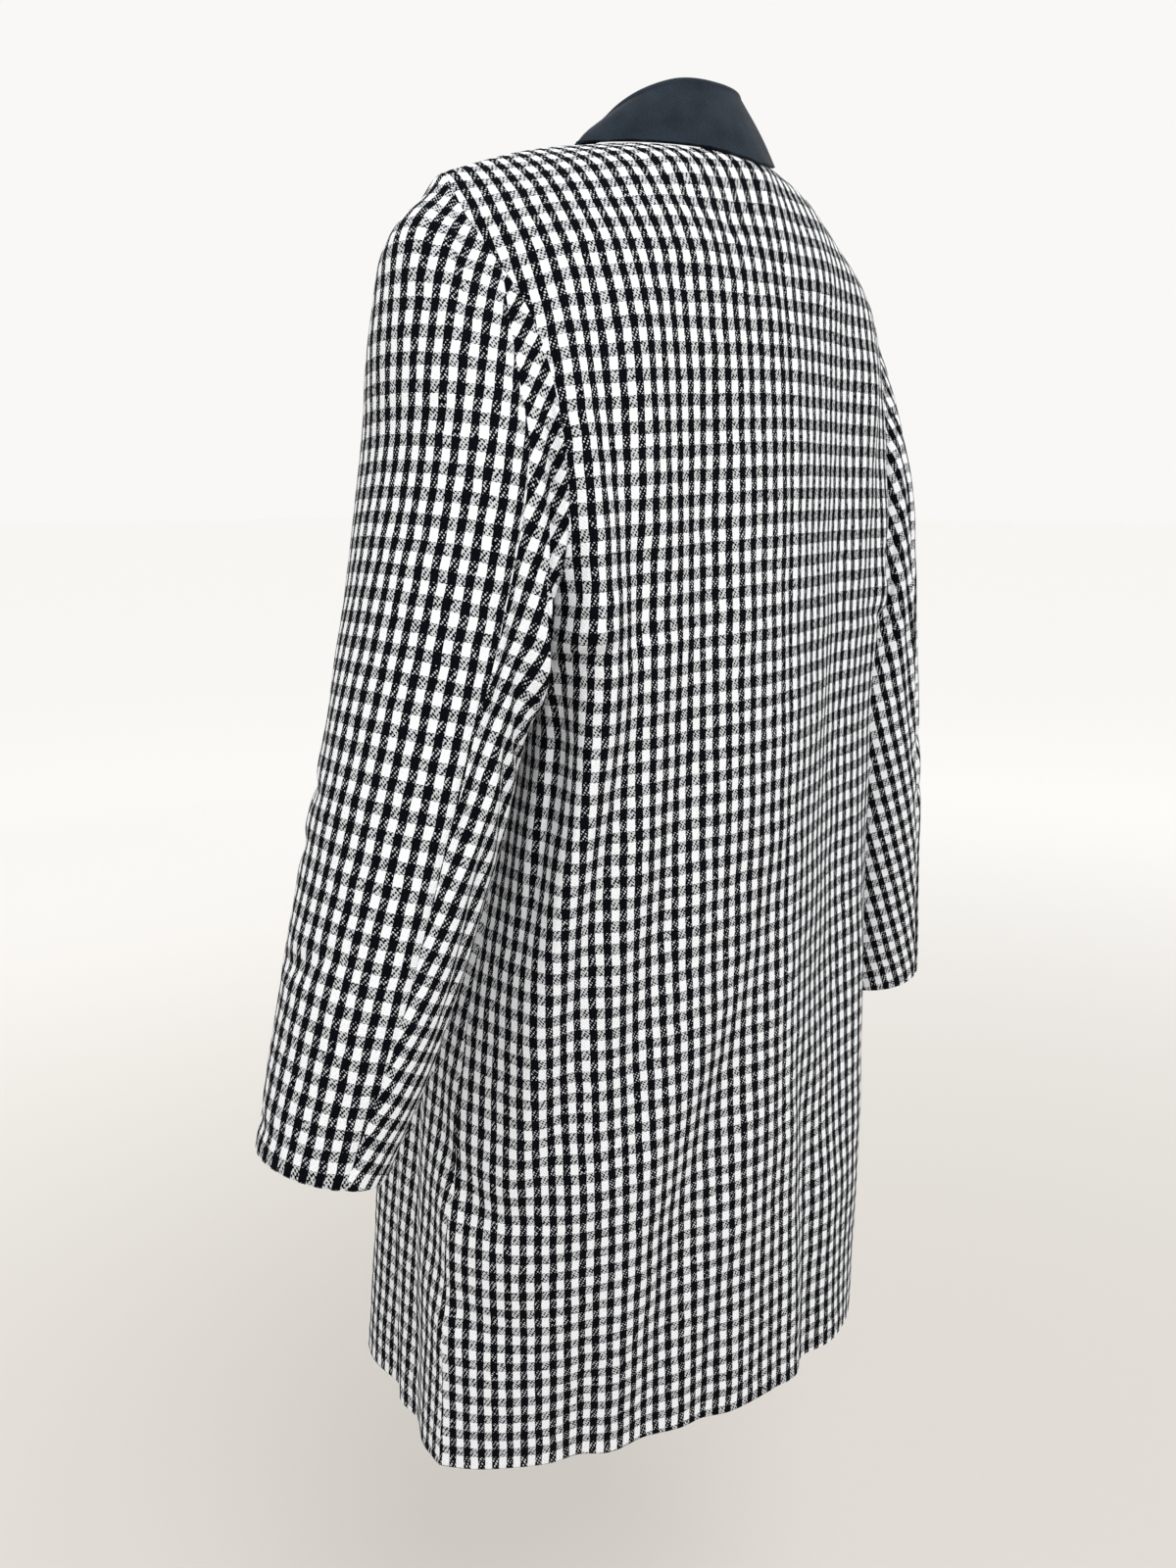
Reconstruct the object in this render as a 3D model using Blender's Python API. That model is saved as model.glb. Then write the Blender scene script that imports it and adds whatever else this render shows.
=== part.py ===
"""A loose checked coat, worn, with its arms hanging and its front buttoned.

Metres, +Z up. The wearer faces -Y and the wearer's left is +X. The origin is
the middle of the neck at the height of the inner ends of the shoulder seams,
where the coat hangs on whoever wears it. Each cut piece is one closed wall.
"""

import math

import bmesh
import bpy
import numpy as np
from mathutils import Vector

WALL = 0.002  # cloth with its turnings, as one wall
SEAM_GAP = 0.0009  # between two pieces along a seam
CREASE = 0.2  # body and sleeve whose directions agree less than this hang side by side
HEM_Z = -0.918
UNDERARM_Z = -0.325
CLOTH = (0.42, 0.42, 0.43)
TWILL = (0.012, 0.014, 0.022)
HORN = (0.02, 0.02, 0.022)

# Armhole, one row per point round it: angle from the shoulder tip (back is
# positive, 180 is the underarm), then the point on the wearer's left.
ARMHOLE = (
    # angle, x, y, z
    (-180, 0.165, 0.000, UNDERARM_Z),
    (-150, 0.165, -0.042, -0.303),
    (-120, 0.168, -0.074, -0.252),
    (-90, 0.172, -0.078, -0.190),
    (-60, 0.180, -0.064, -0.128),
    (-30, 0.194, -0.040, -0.070),
    (0, 0.197, -0.006, -0.037),
    (30, 0.201, 0.024, -0.068),
    (60, 0.188, 0.061, -0.126),
    (90, 0.184, 0.079, -0.200),
    (120, 0.184, 0.078, -0.262),
    (150, 0.178, 0.042, -0.307),
    (180, 0.165, 0.000, UNDERARM_Z),
)

# Body above the underarm, one row per armhole angle: depth and height at the
# middle, then three points across before the row ends at the armhole.
BACK_YOKE = (
    # angle, middle y and z, then x, y, z three times
    (15, 0.086, -0.020, 0.065, 0.062, -0.016, 0.115, 0.042, -0.026, 0.165, 0.024, -0.040),
    (30, 0.094, -0.055, 0.070, 0.088, -0.056, 0.130, 0.068, -0.060, 0.172, 0.048, -0.066),
    (60, 0.102, -0.118, 0.075, 0.103, -0.119, 0.130, 0.094, -0.122, 0.163, 0.080, -0.124),
    (90, 0.107, -0.190, 0.080, 0.109, -0.191, 0.125, 0.105, -0.194, 0.160, 0.094, -0.198),
    (120, 0.109, -0.255, 0.080, 0.111, -0.256, 0.125, 0.108, -0.258, 0.160, 0.098, -0.261),
    (150, 0.111, -0.300, 0.085, 0.112, -0.301, 0.140, 0.106, -0.304, 0.177, 0.086, -0.307),
    (180, 0.112, -0.325, 0.090, 0.112, -0.325, 0.150, 0.103, -0.325, 0.175, 0.064, -0.325),
)
FRONT_CHEST = (
    (15, -0.104, -0.100, 0.055, -0.082, -0.076, 0.110, -0.060, -0.050, 0.160, -0.036, -0.045),
    (30, -0.114, -0.125, 0.060, -0.100, -0.112, 0.115, -0.080, -0.090, 0.160, -0.060, -0.075),
    (60, -0.130, -0.165, 0.065, -0.121, -0.158, 0.115, -0.107, -0.143, 0.152, -0.088, -0.131),
    (90, -0.144, -0.210, 0.070, -0.138, -0.208, 0.118, -0.124, -0.200, 0.152, -0.102, -0.193),
    (120, -0.154, -0.260, 0.075, -0.148, -0.260, 0.125, -0.134, -0.256, 0.158, -0.107, -0.253),
    (150, -0.160, -0.300, 0.080, -0.154, -0.301, 0.132, -0.137, -0.302, 0.160, -0.102, -0.303),
    (180, -0.163, -0.325, 0.085, -0.156, -0.325, 0.136, -0.134, -0.325, 0.160, -0.080, -0.325),
)

# Skirt, one row per level: depth at the middle, three points across, and the
# side seam.
BACK_SKIRT = (
    # z, middle y, x and y three times, side x, side y
    (-0.37, 0.113, 0.090, 0.111, 0.148, 0.100, 0.170, 0.060, 0.156, 0.000),
    (-0.45, 0.113, 0.090, 0.109, 0.150, 0.096, 0.178, 0.056, 0.167, 0.000),
    (-0.56, 0.112, 0.090, 0.106, 0.150, 0.092, 0.187, 0.054, 0.190, 0.001),
    (-0.72, 0.110, 0.088, 0.101, 0.145, 0.086, 0.191, 0.048, 0.208, 0.005),
    (HEM_Z, 0.107, 0.085, 0.095, 0.139, 0.075, 0.192, 0.038, 0.217, 0.010),
)
FRONT_SKIRT = (
    (-0.37, -0.166, 0.086, -0.158, 0.138, -0.134, 0.160, -0.072, 0.156, 0.000),
    (-0.45, -0.171, 0.088, -0.162, 0.140, -0.137, 0.167, -0.066, 0.167, 0.000),
    (-0.56, -0.179, 0.090, -0.170, 0.144, -0.143, 0.183, -0.052, 0.190, 0.001),
    (-0.72, -0.190, 0.092, -0.182, 0.146, -0.154, 0.195, -0.044, 0.208, 0.005),
    (HEM_Z, -0.202, 0.094, -0.194, 0.147, -0.168, 0.200, -0.038, 0.217, 0.010),
)

# The coat is turned a little on its wearer, one row per height: how far a
# point moves back for each metre it stands to the left, and how far the
# middle of the back drifts to the right.
SWING = (
    # z, slope, drift
    (0.05, 0.0, 0.0),
    (-0.05, 0.0, 0.0),
    (-0.20, 0.038, 0.0),
    (-0.33, 0.038, 0.0),
    (-0.50, 0.0, 0.006),
    (HEM_Z, -0.135, 0.030),
)

# Sleeves, one row per ring down the arm: middle of the ring, half its width
# out from the body and half its depth front to back.
LEFT_ARM = (
    # x, y, z, half width, half depth
    (0.189, 0.006, -0.205, 0.060, 0.076),
    (0.212, 0.010, -0.300, 0.060, 0.072),
    (0.2325, 0.010, -0.370, 0.0580, 0.065),
    (0.2540, 0.005, -0.450, 0.0565, 0.062),
    (0.2800, 0.000, -0.540, 0.0510, 0.055),
    (0.3080, -0.010, -0.633, 0.0420, 0.043),
)
RIGHT_ARM = (
    (0.189, 0.006, -0.205, 0.060, 0.076),
    (0.209, 0.012, -0.300, 0.058, 0.072),
    (0.2280, 0.014, -0.370, 0.0540, 0.064),
    (0.2450, 0.018, -0.460, 0.0520, 0.058),
    (0.2660, 0.019, -0.560, 0.0480, 0.050),
    (0.2840, 0.020, -0.656, 0.0420, 0.043),
)
# The sleeve's two seams: where each leaves the armhole, and its angle round
# the arm below. The hind seam leaves high on the back and turns under.
FORE_START = -75
HIND_START = 45
FORE_SEAM = -75
HIND_SEAM = 75
ANGLE_STEP = 15
DEGREES_PER_METRE = 600  # spaces the skirt's rows after the armhole's, which go by angle
UNDER_FROM = 75  # from this angle round the arm the cloth starts to drop
UNDER_SPAN = 50
UNDER_OUT = (0.006, 0.0, 0.0)  # and stands off the body

# Collar, one row per place round the neckline (0 at the centre back, 180 at the
# centre front): how far in the fold stands from the neckline and its height,
# then how far out the edge lies and its height.
COLLAR = (
    # place, fold in, fold z, edge out, edge z
    (0, 0.018, 0.035, 0.017, -0.014),
    (45, 0.018, 0.034, 0.012, -0.007),
    (90, 0.019, 0.022, 0.014, 0.006),
    (120, 0.019, 0.000, 0.020, -0.035),
    (150, 0.018, -0.036, 0.028, -0.085),
    (160, 0.016, -0.046, 0.030, -0.100),
)
COLLAR_ENDS = 157.5  # just clear of the laps
NECK_COLUMNS = 5  # points on each panel's quarter of the neckline
NECK_BACK = (0.0, 0.066, -0.006)
NECK_SIDE = (0.066, -0.004, 0.002)
NECK_FRONT_Y = -0.094
NECK_FRONT_Z = -0.082
NECK_MIDDLE = (0.0, -0.006, 0.0)
ROLL = 0.0045  # radius of the collar's fold

LAP = 0.024  # each front runs this far past the middle
LAP_LIFT = 0.005  # the right front lies this far out, over the left
BUTTON_R = 0.0125
BUTTON_THICK = 0.004
BUTTON_Z = (-0.150, -0.290, -0.430, -0.570)


def clear_scene():
    for thing in list(bpy.data.objects):
        bpy.data.objects.remove(thing, do_unlink=True)


def cloth_material(name, colour, roughness):
    material = bpy.data.materials.new(name)
    material.use_nodes = True
    shader = material.node_tree.nodes["Principled BSDF"]
    shader.inputs["Base Color"].default_value = (*colour, 1.0)
    shader.inputs["Roughness"].default_value = roughness
    shader.inputs["Metallic"].default_value = 0.0
    return material


def smooth_curve(points, places, stops):
    """The curve through points, which stand at places, read at stops."""
    points = np.asarray(points, float)
    places = np.asarray(places, float)
    stops = np.clip(np.asarray(stops, float), places[0], places[-1])
    steps = np.diff(places)
    slopes = np.diff(points, axis=0) / steps[:, None]
    tangents = np.empty_like(points)
    tangents[0], tangents[-1] = slopes[0], slopes[-1]
    near = steps[1:, None]
    far = steps[:-1, None]
    tangents[1:-1] = (slopes[:-1] * near + slopes[1:] * far) / (near + far)
    span = np.clip(np.searchsorted(places, stops, side="right") - 1, 0, len(steps) - 1)
    width = steps[span][:, None]
    t = ((stops - places[span])[:, None]) / width
    return (
        (1 + 2 * t) * (1 - t) ** 2 * points[span]
        + t * (1 - t) ** 2 * width * tangents[span]
        + t * t * (3 - 2 * t) * points[span + 1]
        + t * t * (t - 1) * width * tangents[span + 1]
    )


def even_curve(points, count):
    """The curve through points, as count points the same distance apart."""
    points = np.asarray(points, float)
    places = np.concatenate([[0], np.cumsum(np.linalg.norm(np.diff(points, axis=0), axis=1))])
    fine = smooth_curve(points, places, np.linspace(0, places[-1], 12 * count))
    length = np.concatenate([[0], np.cumsum(np.linalg.norm(np.diff(fine, axis=0), axis=1))])
    marks = np.linspace(0, length[-1], count)
    return np.stack([np.interp(marks, length, fine[:, axis]) for axis in range(3)], axis=1)


def swung(points):
    """The points as they stand once the coat is turned on its wearer."""
    points = np.array(points, float)
    table = np.array(SWING)[::-1]
    slope = np.interp(points[..., 2], table[:, 0], table[:, 1])
    drift = np.interp(points[..., 2], table[:, 0], table[:, 2])
    behind = np.clip(points[..., 1] / 0.1, 0, 1)
    across = np.clip(points[..., 0] / 0.22, -1, 1)
    points[..., 1] += slope * points[..., 0]
    points[..., 0] -= drift * behind * (1 - across**2)
    return points


def armhole_point(angle):
    table = np.array(ARMHOLE)
    return smooth_curve(table[:, 1:], table[:, 0], [angle])[0]


def neckline(front, places):
    """Points round the neck: 0 at the middle, 90 where the shoulder seam starts."""
    turn = np.radians(places)
    side = np.array(NECK_SIDE)
    middle_y, middle_z = (NECK_FRONT_Y, NECK_FRONT_Z) if front else NECK_BACK[1:]
    rise = 1.5 if front else 1.0
    x = side[0] * np.sin(turn)
    y = side[1] + (middle_y - side[1]) * np.cos(turn)
    z = side[2] + (middle_z - side[2]) * np.maximum(np.cos(turn), 0) ** rise
    return np.stack([x, y, z], axis=1)


def top_edge(front, columns):
    """Neckline, then the shoulder seam out to the tip."""
    neck = neckline(front, np.linspace(0, 90, NECK_COLUMNS))
    tip = armhole_point(0)
    share = np.linspace(0, 1, columns - NECK_COLUMNS + 1)[1:, None]
    bow = np.array([0, 0, 0.004]) * np.sin(math.pi * share)
    shoulder = neck[-1] * (1 - share) + tip * share + bow
    return np.concatenate([neck, shoulder])


def yoke_row(row, sign, columns):
    middle = (0.0, *row[1:3])
    inner = np.array(row[3:]).reshape(3, 3)
    return even_curve([middle, *inner, armhole_point(sign * row[0])], columns)


def skirt_row(row, columns):
    level, middle_y = row[:2]
    inner = np.array(row[2:]).reshape(4, 2)
    across = np.array([0, *inner[:, 0]])
    depth = np.array([middle_y, *inner[:, 1]])
    return even_curve(np.stack([across, depth, np.full(5, level)], axis=1), columns)


def body_panel(front, columns, skirt_rows):
    """Rows of points from the shoulder to the hem, each from the middle to the side."""
    sign = -1 if front else 1
    yoke = FRONT_CHEST if front else BACK_YOKE
    skirt = FRONT_SKIRT if front else BACK_SKIRT
    rows = [top_edge(front, columns)]
    rows += [yoke_row(row, sign, columns) for row in yoke]
    rows += [skirt_row(row, columns) for row in skirt]
    rows = np.array(rows)
    places = [0, *(row[0] for row in yoke)]
    places += [180 + DEGREES_PER_METRE * (UNDERARM_Z - row[0]) for row in skirt]
    stops = [*range(0, 180, ANGLE_STEP), *np.linspace(180, places[-1], skirt_rows)]
    panel = np.stack(
        [smooth_curve(rows[:, column], places, stops) for column in range(columns)], axis=1
    )
    for index, stop in enumerate(stops):
        if stop <= 180:
            panel[index, -1] = armhole_point(sign * stop)
    side = slice(len(yoke), None)
    panel[-skirt_rows:, -1] = smooth_curve(rows[side, -1], places[len(yoke) :], stops[-skirt_rows:])
    return panel


def lap_front(panel, over):
    """The front carried past the middle. The one on top also stands out a little."""
    widths = np.array([LAP, LAP / 2])
    extra = np.empty((len(panel), len(widths), 3))
    for row, line in enumerate(panel):
        # The other front is this one mirrored, so the lap follows its curve.
        extra[row, :, 0] = -widths
        extra[row, :, 1] = np.interp(widths, line[:, 0], line[:, 1])
        extra[row, :, 2] = np.interp(widths, line[:, 0], line[:, 2])
    whole = np.concatenate([extra, panel], axis=1)
    if over:
        near = np.clip(1 - (whole[:, :, 0] - LAP) / 0.03, 0, 1)
        down = np.gradient(panel[:, 0, 1:], axis=0)
        down /= np.linalg.norm(down, axis=1, keepdims=True)
        lift = LAP_LIFT * near * near * (3 - 2 * near)
        whole[:, :, 1] += lift * down[:, 1:]
        whole[:, :, 2] -= lift * down[:, :1]
    return whole


def sleeve_rings(arm, side, starts):
    """Rings of points down the sleeve, from the armhole to the cuff."""
    table = np.array(arm)
    middle, half = table[:, :3], table[:, 3:]
    last = 360 + FORE_START
    around = np.interp(starts, (FORE_START, HIND_START, last), (FORE_SEAM, HIND_SEAM, 360 + FORE_SEAM))
    turn = np.radians(around)
    start = np.array([armhole_point((angle + 180) % 360 - 180) for angle in starts])
    start = swung(start * (side, 1, 1)) * (side, 1, 1)
    rings = []
    for index in range(len(table)):
        ahead = middle[min(index + 1, len(table) - 1)] - middle[max(index - 1, 0)]
        ahead /= np.linalg.norm(ahead)
        out = np.cross((0.0, 1.0, 0.0), ahead)
        out *= np.sign(out[0])
        out /= np.linalg.norm(out)
        back = np.cross(ahead, out)
        back *= np.sign(back[1])
        rings.append(
            middle[index]
            + half[index, 0] * np.cos(turn)[:, None] * out
            + half[index, 1] * np.sin(turn)[:, None] * back
        )
    # Over the shoulder the cap rounds out. Under the arm the cloth drops
    # straight from the armhole to the third ring.
    swell = np.maximum(np.cos(turn), 0)[:, None] ** 1.5
    shoulder = start * 0.45 + rings[0] * 0.55 + swell * np.array([0.010, 0.0, 0.030])
    under = np.clip((np.abs((around + 180) % 360 - 180) - UNDER_FROM) / UNDER_SPAN, 0, 1)
    under = (under * under * (3 - 2 * under))[:, None]
    drop = rings[2] - start + UNDER_OUT
    shoulder = shoulder * (1 - under) + (start + 0.15 * drop) * under
    rings[0] = rings[0] * (1 - under) + (start + 0.35 * drop) * under
    rings[1] = rings[1] * (1 - under) + (start + 0.68 * drop) * under
    return np.array([start, shoulder, *rings]) * (side, 1, 1)


def sleeve_panel(arm, side, first, last, rows):
    """The sleeve between two armhole angles, as rows from the armhole down."""
    starts = np.arange(first, last + 1, ANGLE_STEP)
    rings = sleeve_rings(arm, side, starts)
    down = np.array(arm)[:, :3]
    places = [0.0, 0.06, *(0.13 + np.linalg.norm(down - down[0], axis=1))]
    stops = places[-1] * np.linspace(0, 1, rows)
    return np.stack(
        [smooth_curve(rings[:, column], places, stops) for column in range(len(starts))], axis=1
    )


def neck_point(turn):
    """The panels' neck edge at this place round it, and which way is out from there."""
    places = np.linspace(0, 90, NECK_COLUMNS)
    edge = np.concatenate([neckline(False, places), neckline(True, places[-2::-1])])
    around = np.linspace(0, 180, len(edge))
    point = np.array([np.interp(turn, around, edge[:, axis]) for axis in range(3)])
    out = (point - NECK_MIDDLE) * (1, 1, 0)
    return point, out / np.linalg.norm(out)


def collar_line(turn, fold_in, fold_z, edge_out, edge_z):
    """Points up the stand, round the fold and down the fall at one place."""
    point, out = neck_point(turn)
    low = fold_z - ROLL
    # In front the panels' own walls lean in towards the neck.
    stand_in = WALL + SEAM_GAP + np.interp(turn, (90, 120), (0, WALL))
    line = [(-stand_in, point[2]), (-(stand_in + fold_in) / 2, (point[2] + low) / 2)]
    for bend in np.linspace(0, math.pi, 5):
        line.append((-fold_in + ROLL * (1 - math.cos(bend)), low + ROLL * math.sin(bend)))
    outer = -fold_in + 2 * ROLL
    for share in (1 / 3, 2 / 3, 1):
        belly = 0.002 * math.sin(math.pi * share)
        line.append((outer + (edge_out - outer) * share + belly, low + (edge_z - low) * share))
    offset, height = np.array(line).T
    placed = point + offset[:, None] * out
    placed[:, 2] = height
    return placed


def collar_panel(columns):
    """Rows from the neck seam up the stand, over the fold and down to the edge."""
    table = np.array(COLLAR)
    half = np.linspace(0, COLLAR_ENDS, columns)
    read = smooth_curve(table[:, 1:], table[:, 0], half)
    left = np.array([collar_line(turn, *row) for turn, row in zip(half, read)])
    right = mirrored(left[:0:-1])
    return np.concatenate([right, left]).transpose(1, 0, 2)


def grid_normals(panel):
    across = np.gradient(panel, axis=1)
    down = np.gradient(panel, axis=0)
    normals = np.cross(across, down)
    normals /= np.linalg.norm(normals, axis=2, keepdims=True)
    return normals


def facing_out(panel, normals, middle):
    """The normals turned away from the middle line, and whether that turned them."""
    outward = panel.reshape(-1, 3) - middle
    flip = (normals.reshape(-1, 3) * outward).sum() < 0
    return (-normals if flip else normals), flip


def seam_walls(panels):
    """Wall directions, and how far seam points move to part the pieces.

    Two pieces that meet share one wall direction there. Under the arm, where
    body and sleeve hang side by side, each keeps its own and draws back.
    """
    normals = {name: grid_normals(points) for name, points in panels.items()}
    for name, points in panels.items():
        middle = points.reshape(-1, 3).mean(axis=0) * (0, 0, 1)
        if "sleeve" in name:
            side = np.sign(points[..., 0].mean())
            arm = np.array(LEFT_ARM if side > 0 else RIGHT_ARM)[:, :3] * (side, 1, 1)
            heights = points[..., 2].reshape(-1)
            along = np.stack(
                [np.interp(-heights, -arm[:, 2], arm[:, axis]) for axis in (0, 1)], axis=1
            )
            middle = np.column_stack([along, heights])
        normals[name], _ = facing_out(points, normals[name], middle)
    places = {}
    for name, points in panels.items():
        rows, columns = points.shape[:2]
        for row in range(rows):
            for column in range(columns):
                if row in (0, rows - 1) or column in (0, columns - 1):
                    key = tuple(np.round(points[row, column] * 1e5).astype(int))
                    places.setdefault(key, []).append((name, row, column))
    walls = {name: own * WALL for name, own in normals.items()}
    shifts = {name: np.zeros_like(own) for name, own in normals.items()}
    for meeting in places.values():
        if len({name for name, _, _ in meeting}) < 2:
            continue
        body, sleeve = (
            [normals[name][row, column] for name, row, column in meeting if ("sleeve" in name) == arm]
            for arm in (False, True)
        )
        sides = [np.mean(own, axis=0) for own in (body, sleeve) if own]
        hanging = len(sides) == 2 and sides[0] @ sides[1] < CREASE
        shared = sum(sides) / np.linalg.norm(sum(sides))
        for name, row, column in meeting:
            own = normals[name][row, column]
            if hanging:
                shifts[name][row, column] = -own * SEAM_GAP / 2
            else:
                walls[name][row, column] = shared * WALL / max(float(shared @ own), 0.7)
    return walls, shifts


def inset(panel, walls, sides):
    """The panel with the named edges drawn back by half a seam gap.

    An edge moves square to its wall, so two pieces that hang side by side
    from one seam part as well as two that lie flat.
    """
    moved = panel.copy()
    for side in sides:
        edge, inner = {
            "top": (np.s_[0], np.s_[1]),
            "bottom": (np.s_[-1], np.s_[-2]),
            "first": (np.s_[:, 0], np.s_[:, 1]),
            "last": (np.s_[:, -1], np.s_[:, -2]),
        }[side]
        wall = walls[edge] / np.linalg.norm(walls[edge], axis=-1, keepdims=True)
        step = panel[inner] - panel[edge]
        step -= (step * wall).sum(axis=-1, keepdims=True) * wall
        moved[edge] += step * SEAM_GAP / 2 / np.linalg.norm(step, axis=-1, keepdims=True)
    return moved


def wall_object(name, panel, walls, material):
    """A closed solid from a grid of outer points and the wall under each."""
    rows, columns = panel.shape[:2]
    builder = bmesh.new()
    outer = [[builder.verts.new(Vector(p)) for p in line] for line in panel]
    inner = [[builder.verts.new(Vector(p)) for p in line] for line in panel - walls]
    for row in range(rows - 1):
        for column in range(columns - 1):
            for sheet, turned in ((outer, False), (inner, True)):
                corners = [
                    sheet[row][column],
                    sheet[row][column + 1],
                    sheet[row + 1][column + 1],
                    sheet[row + 1][column],
                ]
                builder.faces.new(corners[::-1] if turned else corners)
    rim = [(0, column) for column in range(columns)]
    rim += [(row, columns - 1) for row in range(1, rows)]
    rim += [(rows - 1, column) for column in range(columns - 2, -1, -1)]
    rim += [(row, 0) for row in range(rows - 2, 0, -1)]
    for (row, column), (next_row, next_column) in zip(rim, rim[1:] + rim[:1]):
        builder.faces.new(
            (
                outer[next_row][next_column],
                outer[row][column],
                inner[row][column],
                inner[next_row][next_column],
            )
        )
    bmesh.ops.recalc_face_normals(builder, faces=builder.faces)
    mesh = bpy.data.meshes.new(name)
    builder.to_mesh(mesh)
    builder.free()
    mesh.shade_smooth()
    mesh.materials.append(material)
    made = bpy.data.objects.new(name, mesh)
    bpy.context.collection.objects.link(made)
    return made


def mirrored(panel):
    """The same piece for the wearer's right."""
    return panel * (-1, 1, 1)


def button_object(index, height, front, material):
    """A plain disc standing just off the lapped front."""
    level = front[:, 2]
    row = int(np.argmin(np.abs(level - height)))
    above, below = front[max(row - 1, 0)], front[min(row + 1, len(front) - 1)]
    depth = np.interp(-height, -level, front[:, 1])
    lean = math.atan2(above[1] - below[1], above[2] - below[2])
    builder = bmesh.new()
    bmesh.ops.create_cone(
        builder,
        cap_ends=True,
        segments=24,
        radius1=BUTTON_R,
        radius2=BUTTON_R * 0.94,
        depth=BUTTON_THICK,
    )
    mesh = bpy.data.meshes.new(f"button_{index}")
    builder.to_mesh(mesh)
    builder.free()
    mesh.materials.append(material)
    made = bpy.data.objects.new(f"button_{index}", mesh)
    made.location = (0.0, depth - BUTTON_THICK / 2 - 0.0012, height)
    made.rotation_euler = (math.pi / 2 - lean, 0.0, 0.0)
    bpy.context.collection.objects.link(made)


def main():
    clear_scene()
    back = body_panel(front=False, columns=12, skirt_rows=11)
    front = body_panel(front=True, columns=12, skirt_rows=11)
    top, under = (FORE_START, HIND_START), (HIND_START, 360 + FORE_START)
    panels = {
        "back_left": swung(back),
        "back_right": swung(mirrored(back)),
        "front_left": swung(lap_front(front, over=False)),
        "front_right": swung(mirrored(lap_front(front, over=True))),
        "topsleeve_left": sleeve_panel(LEFT_ARM, 1, *top, 17),
        "undersleeve_left": sleeve_panel(LEFT_ARM, 1, *under, 17),
        "topsleeve_right": sleeve_panel(RIGHT_ARM, -1, *top, 17),
        "undersleeve_right": sleeve_panel(RIGHT_ARM, -1, *under, 17),
    }
    seams = {
        "back": ("top", "first", "last"),
        "front": ("top", "last"),
        "topsleeve": ("top", "first", "last"),
        "undersleeve": ("top", "first", "last"),
    }
    walls, shifts = seam_walls(panels)
    for name, points in panels.items():
        material = cloth_material(name, CLOTH, 0.9)
        drawn = inset(points, walls[name], seams[name.split("_")[0]]) + shifts[name]
        wall_object(name, drawn, walls[name], material)
    collar = collar_panel(15)
    inward = grid_normals(collar)
    wall_object("collar", collar, inward * WALL, cloth_material("collar", TWILL, 0.85))
    edge = panels["front_right"][:, 2]
    for index, height in enumerate(BUTTON_Z, start=1):
        button_object(index, height, edge, cloth_material(f"button_{index}", HORN, 0.4))


main()
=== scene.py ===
import math

import bpy
import numpy as np
from mathutils import Matrix, Vector
from mathutils.bvhtree import BVHTree


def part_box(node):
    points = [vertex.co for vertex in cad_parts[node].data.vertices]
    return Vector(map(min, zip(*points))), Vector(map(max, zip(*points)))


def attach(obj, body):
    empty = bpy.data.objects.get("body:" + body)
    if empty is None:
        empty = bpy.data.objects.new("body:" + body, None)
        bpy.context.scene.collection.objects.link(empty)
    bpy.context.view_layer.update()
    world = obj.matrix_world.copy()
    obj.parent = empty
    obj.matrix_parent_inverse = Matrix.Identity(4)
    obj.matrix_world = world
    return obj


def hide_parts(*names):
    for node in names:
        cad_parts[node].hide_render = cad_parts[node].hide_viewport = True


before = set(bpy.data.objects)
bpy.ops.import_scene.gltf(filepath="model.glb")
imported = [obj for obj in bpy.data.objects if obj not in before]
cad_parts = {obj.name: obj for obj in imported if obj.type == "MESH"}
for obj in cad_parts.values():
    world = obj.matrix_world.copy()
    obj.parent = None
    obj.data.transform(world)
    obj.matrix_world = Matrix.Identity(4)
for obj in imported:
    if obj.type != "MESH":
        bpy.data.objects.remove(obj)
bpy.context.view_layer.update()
bpy.ops.object.select_all(action="DESELECT")
print("frame loaded:", len(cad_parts), "nodes")

# shared measures, in metres
cloth = {
    "thickness": 0.0011,      # one layer of the checked wool
    "across": 0.0105,         # one repeat of the check across, a dark and a light stripe
    "down": 0.015,            # one repeat down the warp
    "seamDip": 0.0014,        # how far a sewn edge turns in
    "seamWidth": 0.0032,
    "hemRoll": 0.0013,        # radius of the fold at the hem and cuffs
    "hemTurn": 0.036,         # what is turned up inside at the hem
    "cuffTurn": 0.030,
    "waver": 0.0005,          # how uneven the cloth lies all over
    "shoulderHold": 0.016,    # creases die out this near to the shoulder seam
    "armholeHold": 0.018,     # and this near to the armhole, on the body
    "headHold": 0.020,        # and on the sleeve
    "holdRows": 14,           # rows below the underarm over which the side seam is let go
}
gridding = {
    "columnSteps": 9, "columnGroups": 11, "neckGroups": 4,  # eleven groups of columns, four under the neck
    "armholeStep": 3, "skirtRows": 150, "lapSteps": 8, "sleeveRows": 176, "curveSteps": 12,
    "rollRows": 6, "turningRows": 8,  # the fold of the hem and the turning inside
}
underarmZ = -0.325
hemZ = -0.918
neckAxis = (0.0, -0.006, 0.0)

# the armhole: angle from the shoulder tip, back positive, then x, y, z on the wearer's left
armhole = np.array([
    (-180, 0.165, 0.000, underarmZ), (-150, 0.165, -0.042, -0.303), (-120, 0.168, -0.074, -0.252),
    (-90, 0.172, -0.078, -0.190), (-60, 0.180, -0.064, -0.128), (-30, 0.194, -0.040, -0.070),
    (0, 0.197, -0.006, -0.037), (30, 0.201, 0.024, -0.068), (60, 0.188, 0.061, -0.126),
    (90, 0.184, 0.079, -0.200), (120, 0.184, 0.078, -0.262), (150, 0.178, 0.042, -0.307),
    (180, 0.165, 0.000, underarmZ),
])

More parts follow.
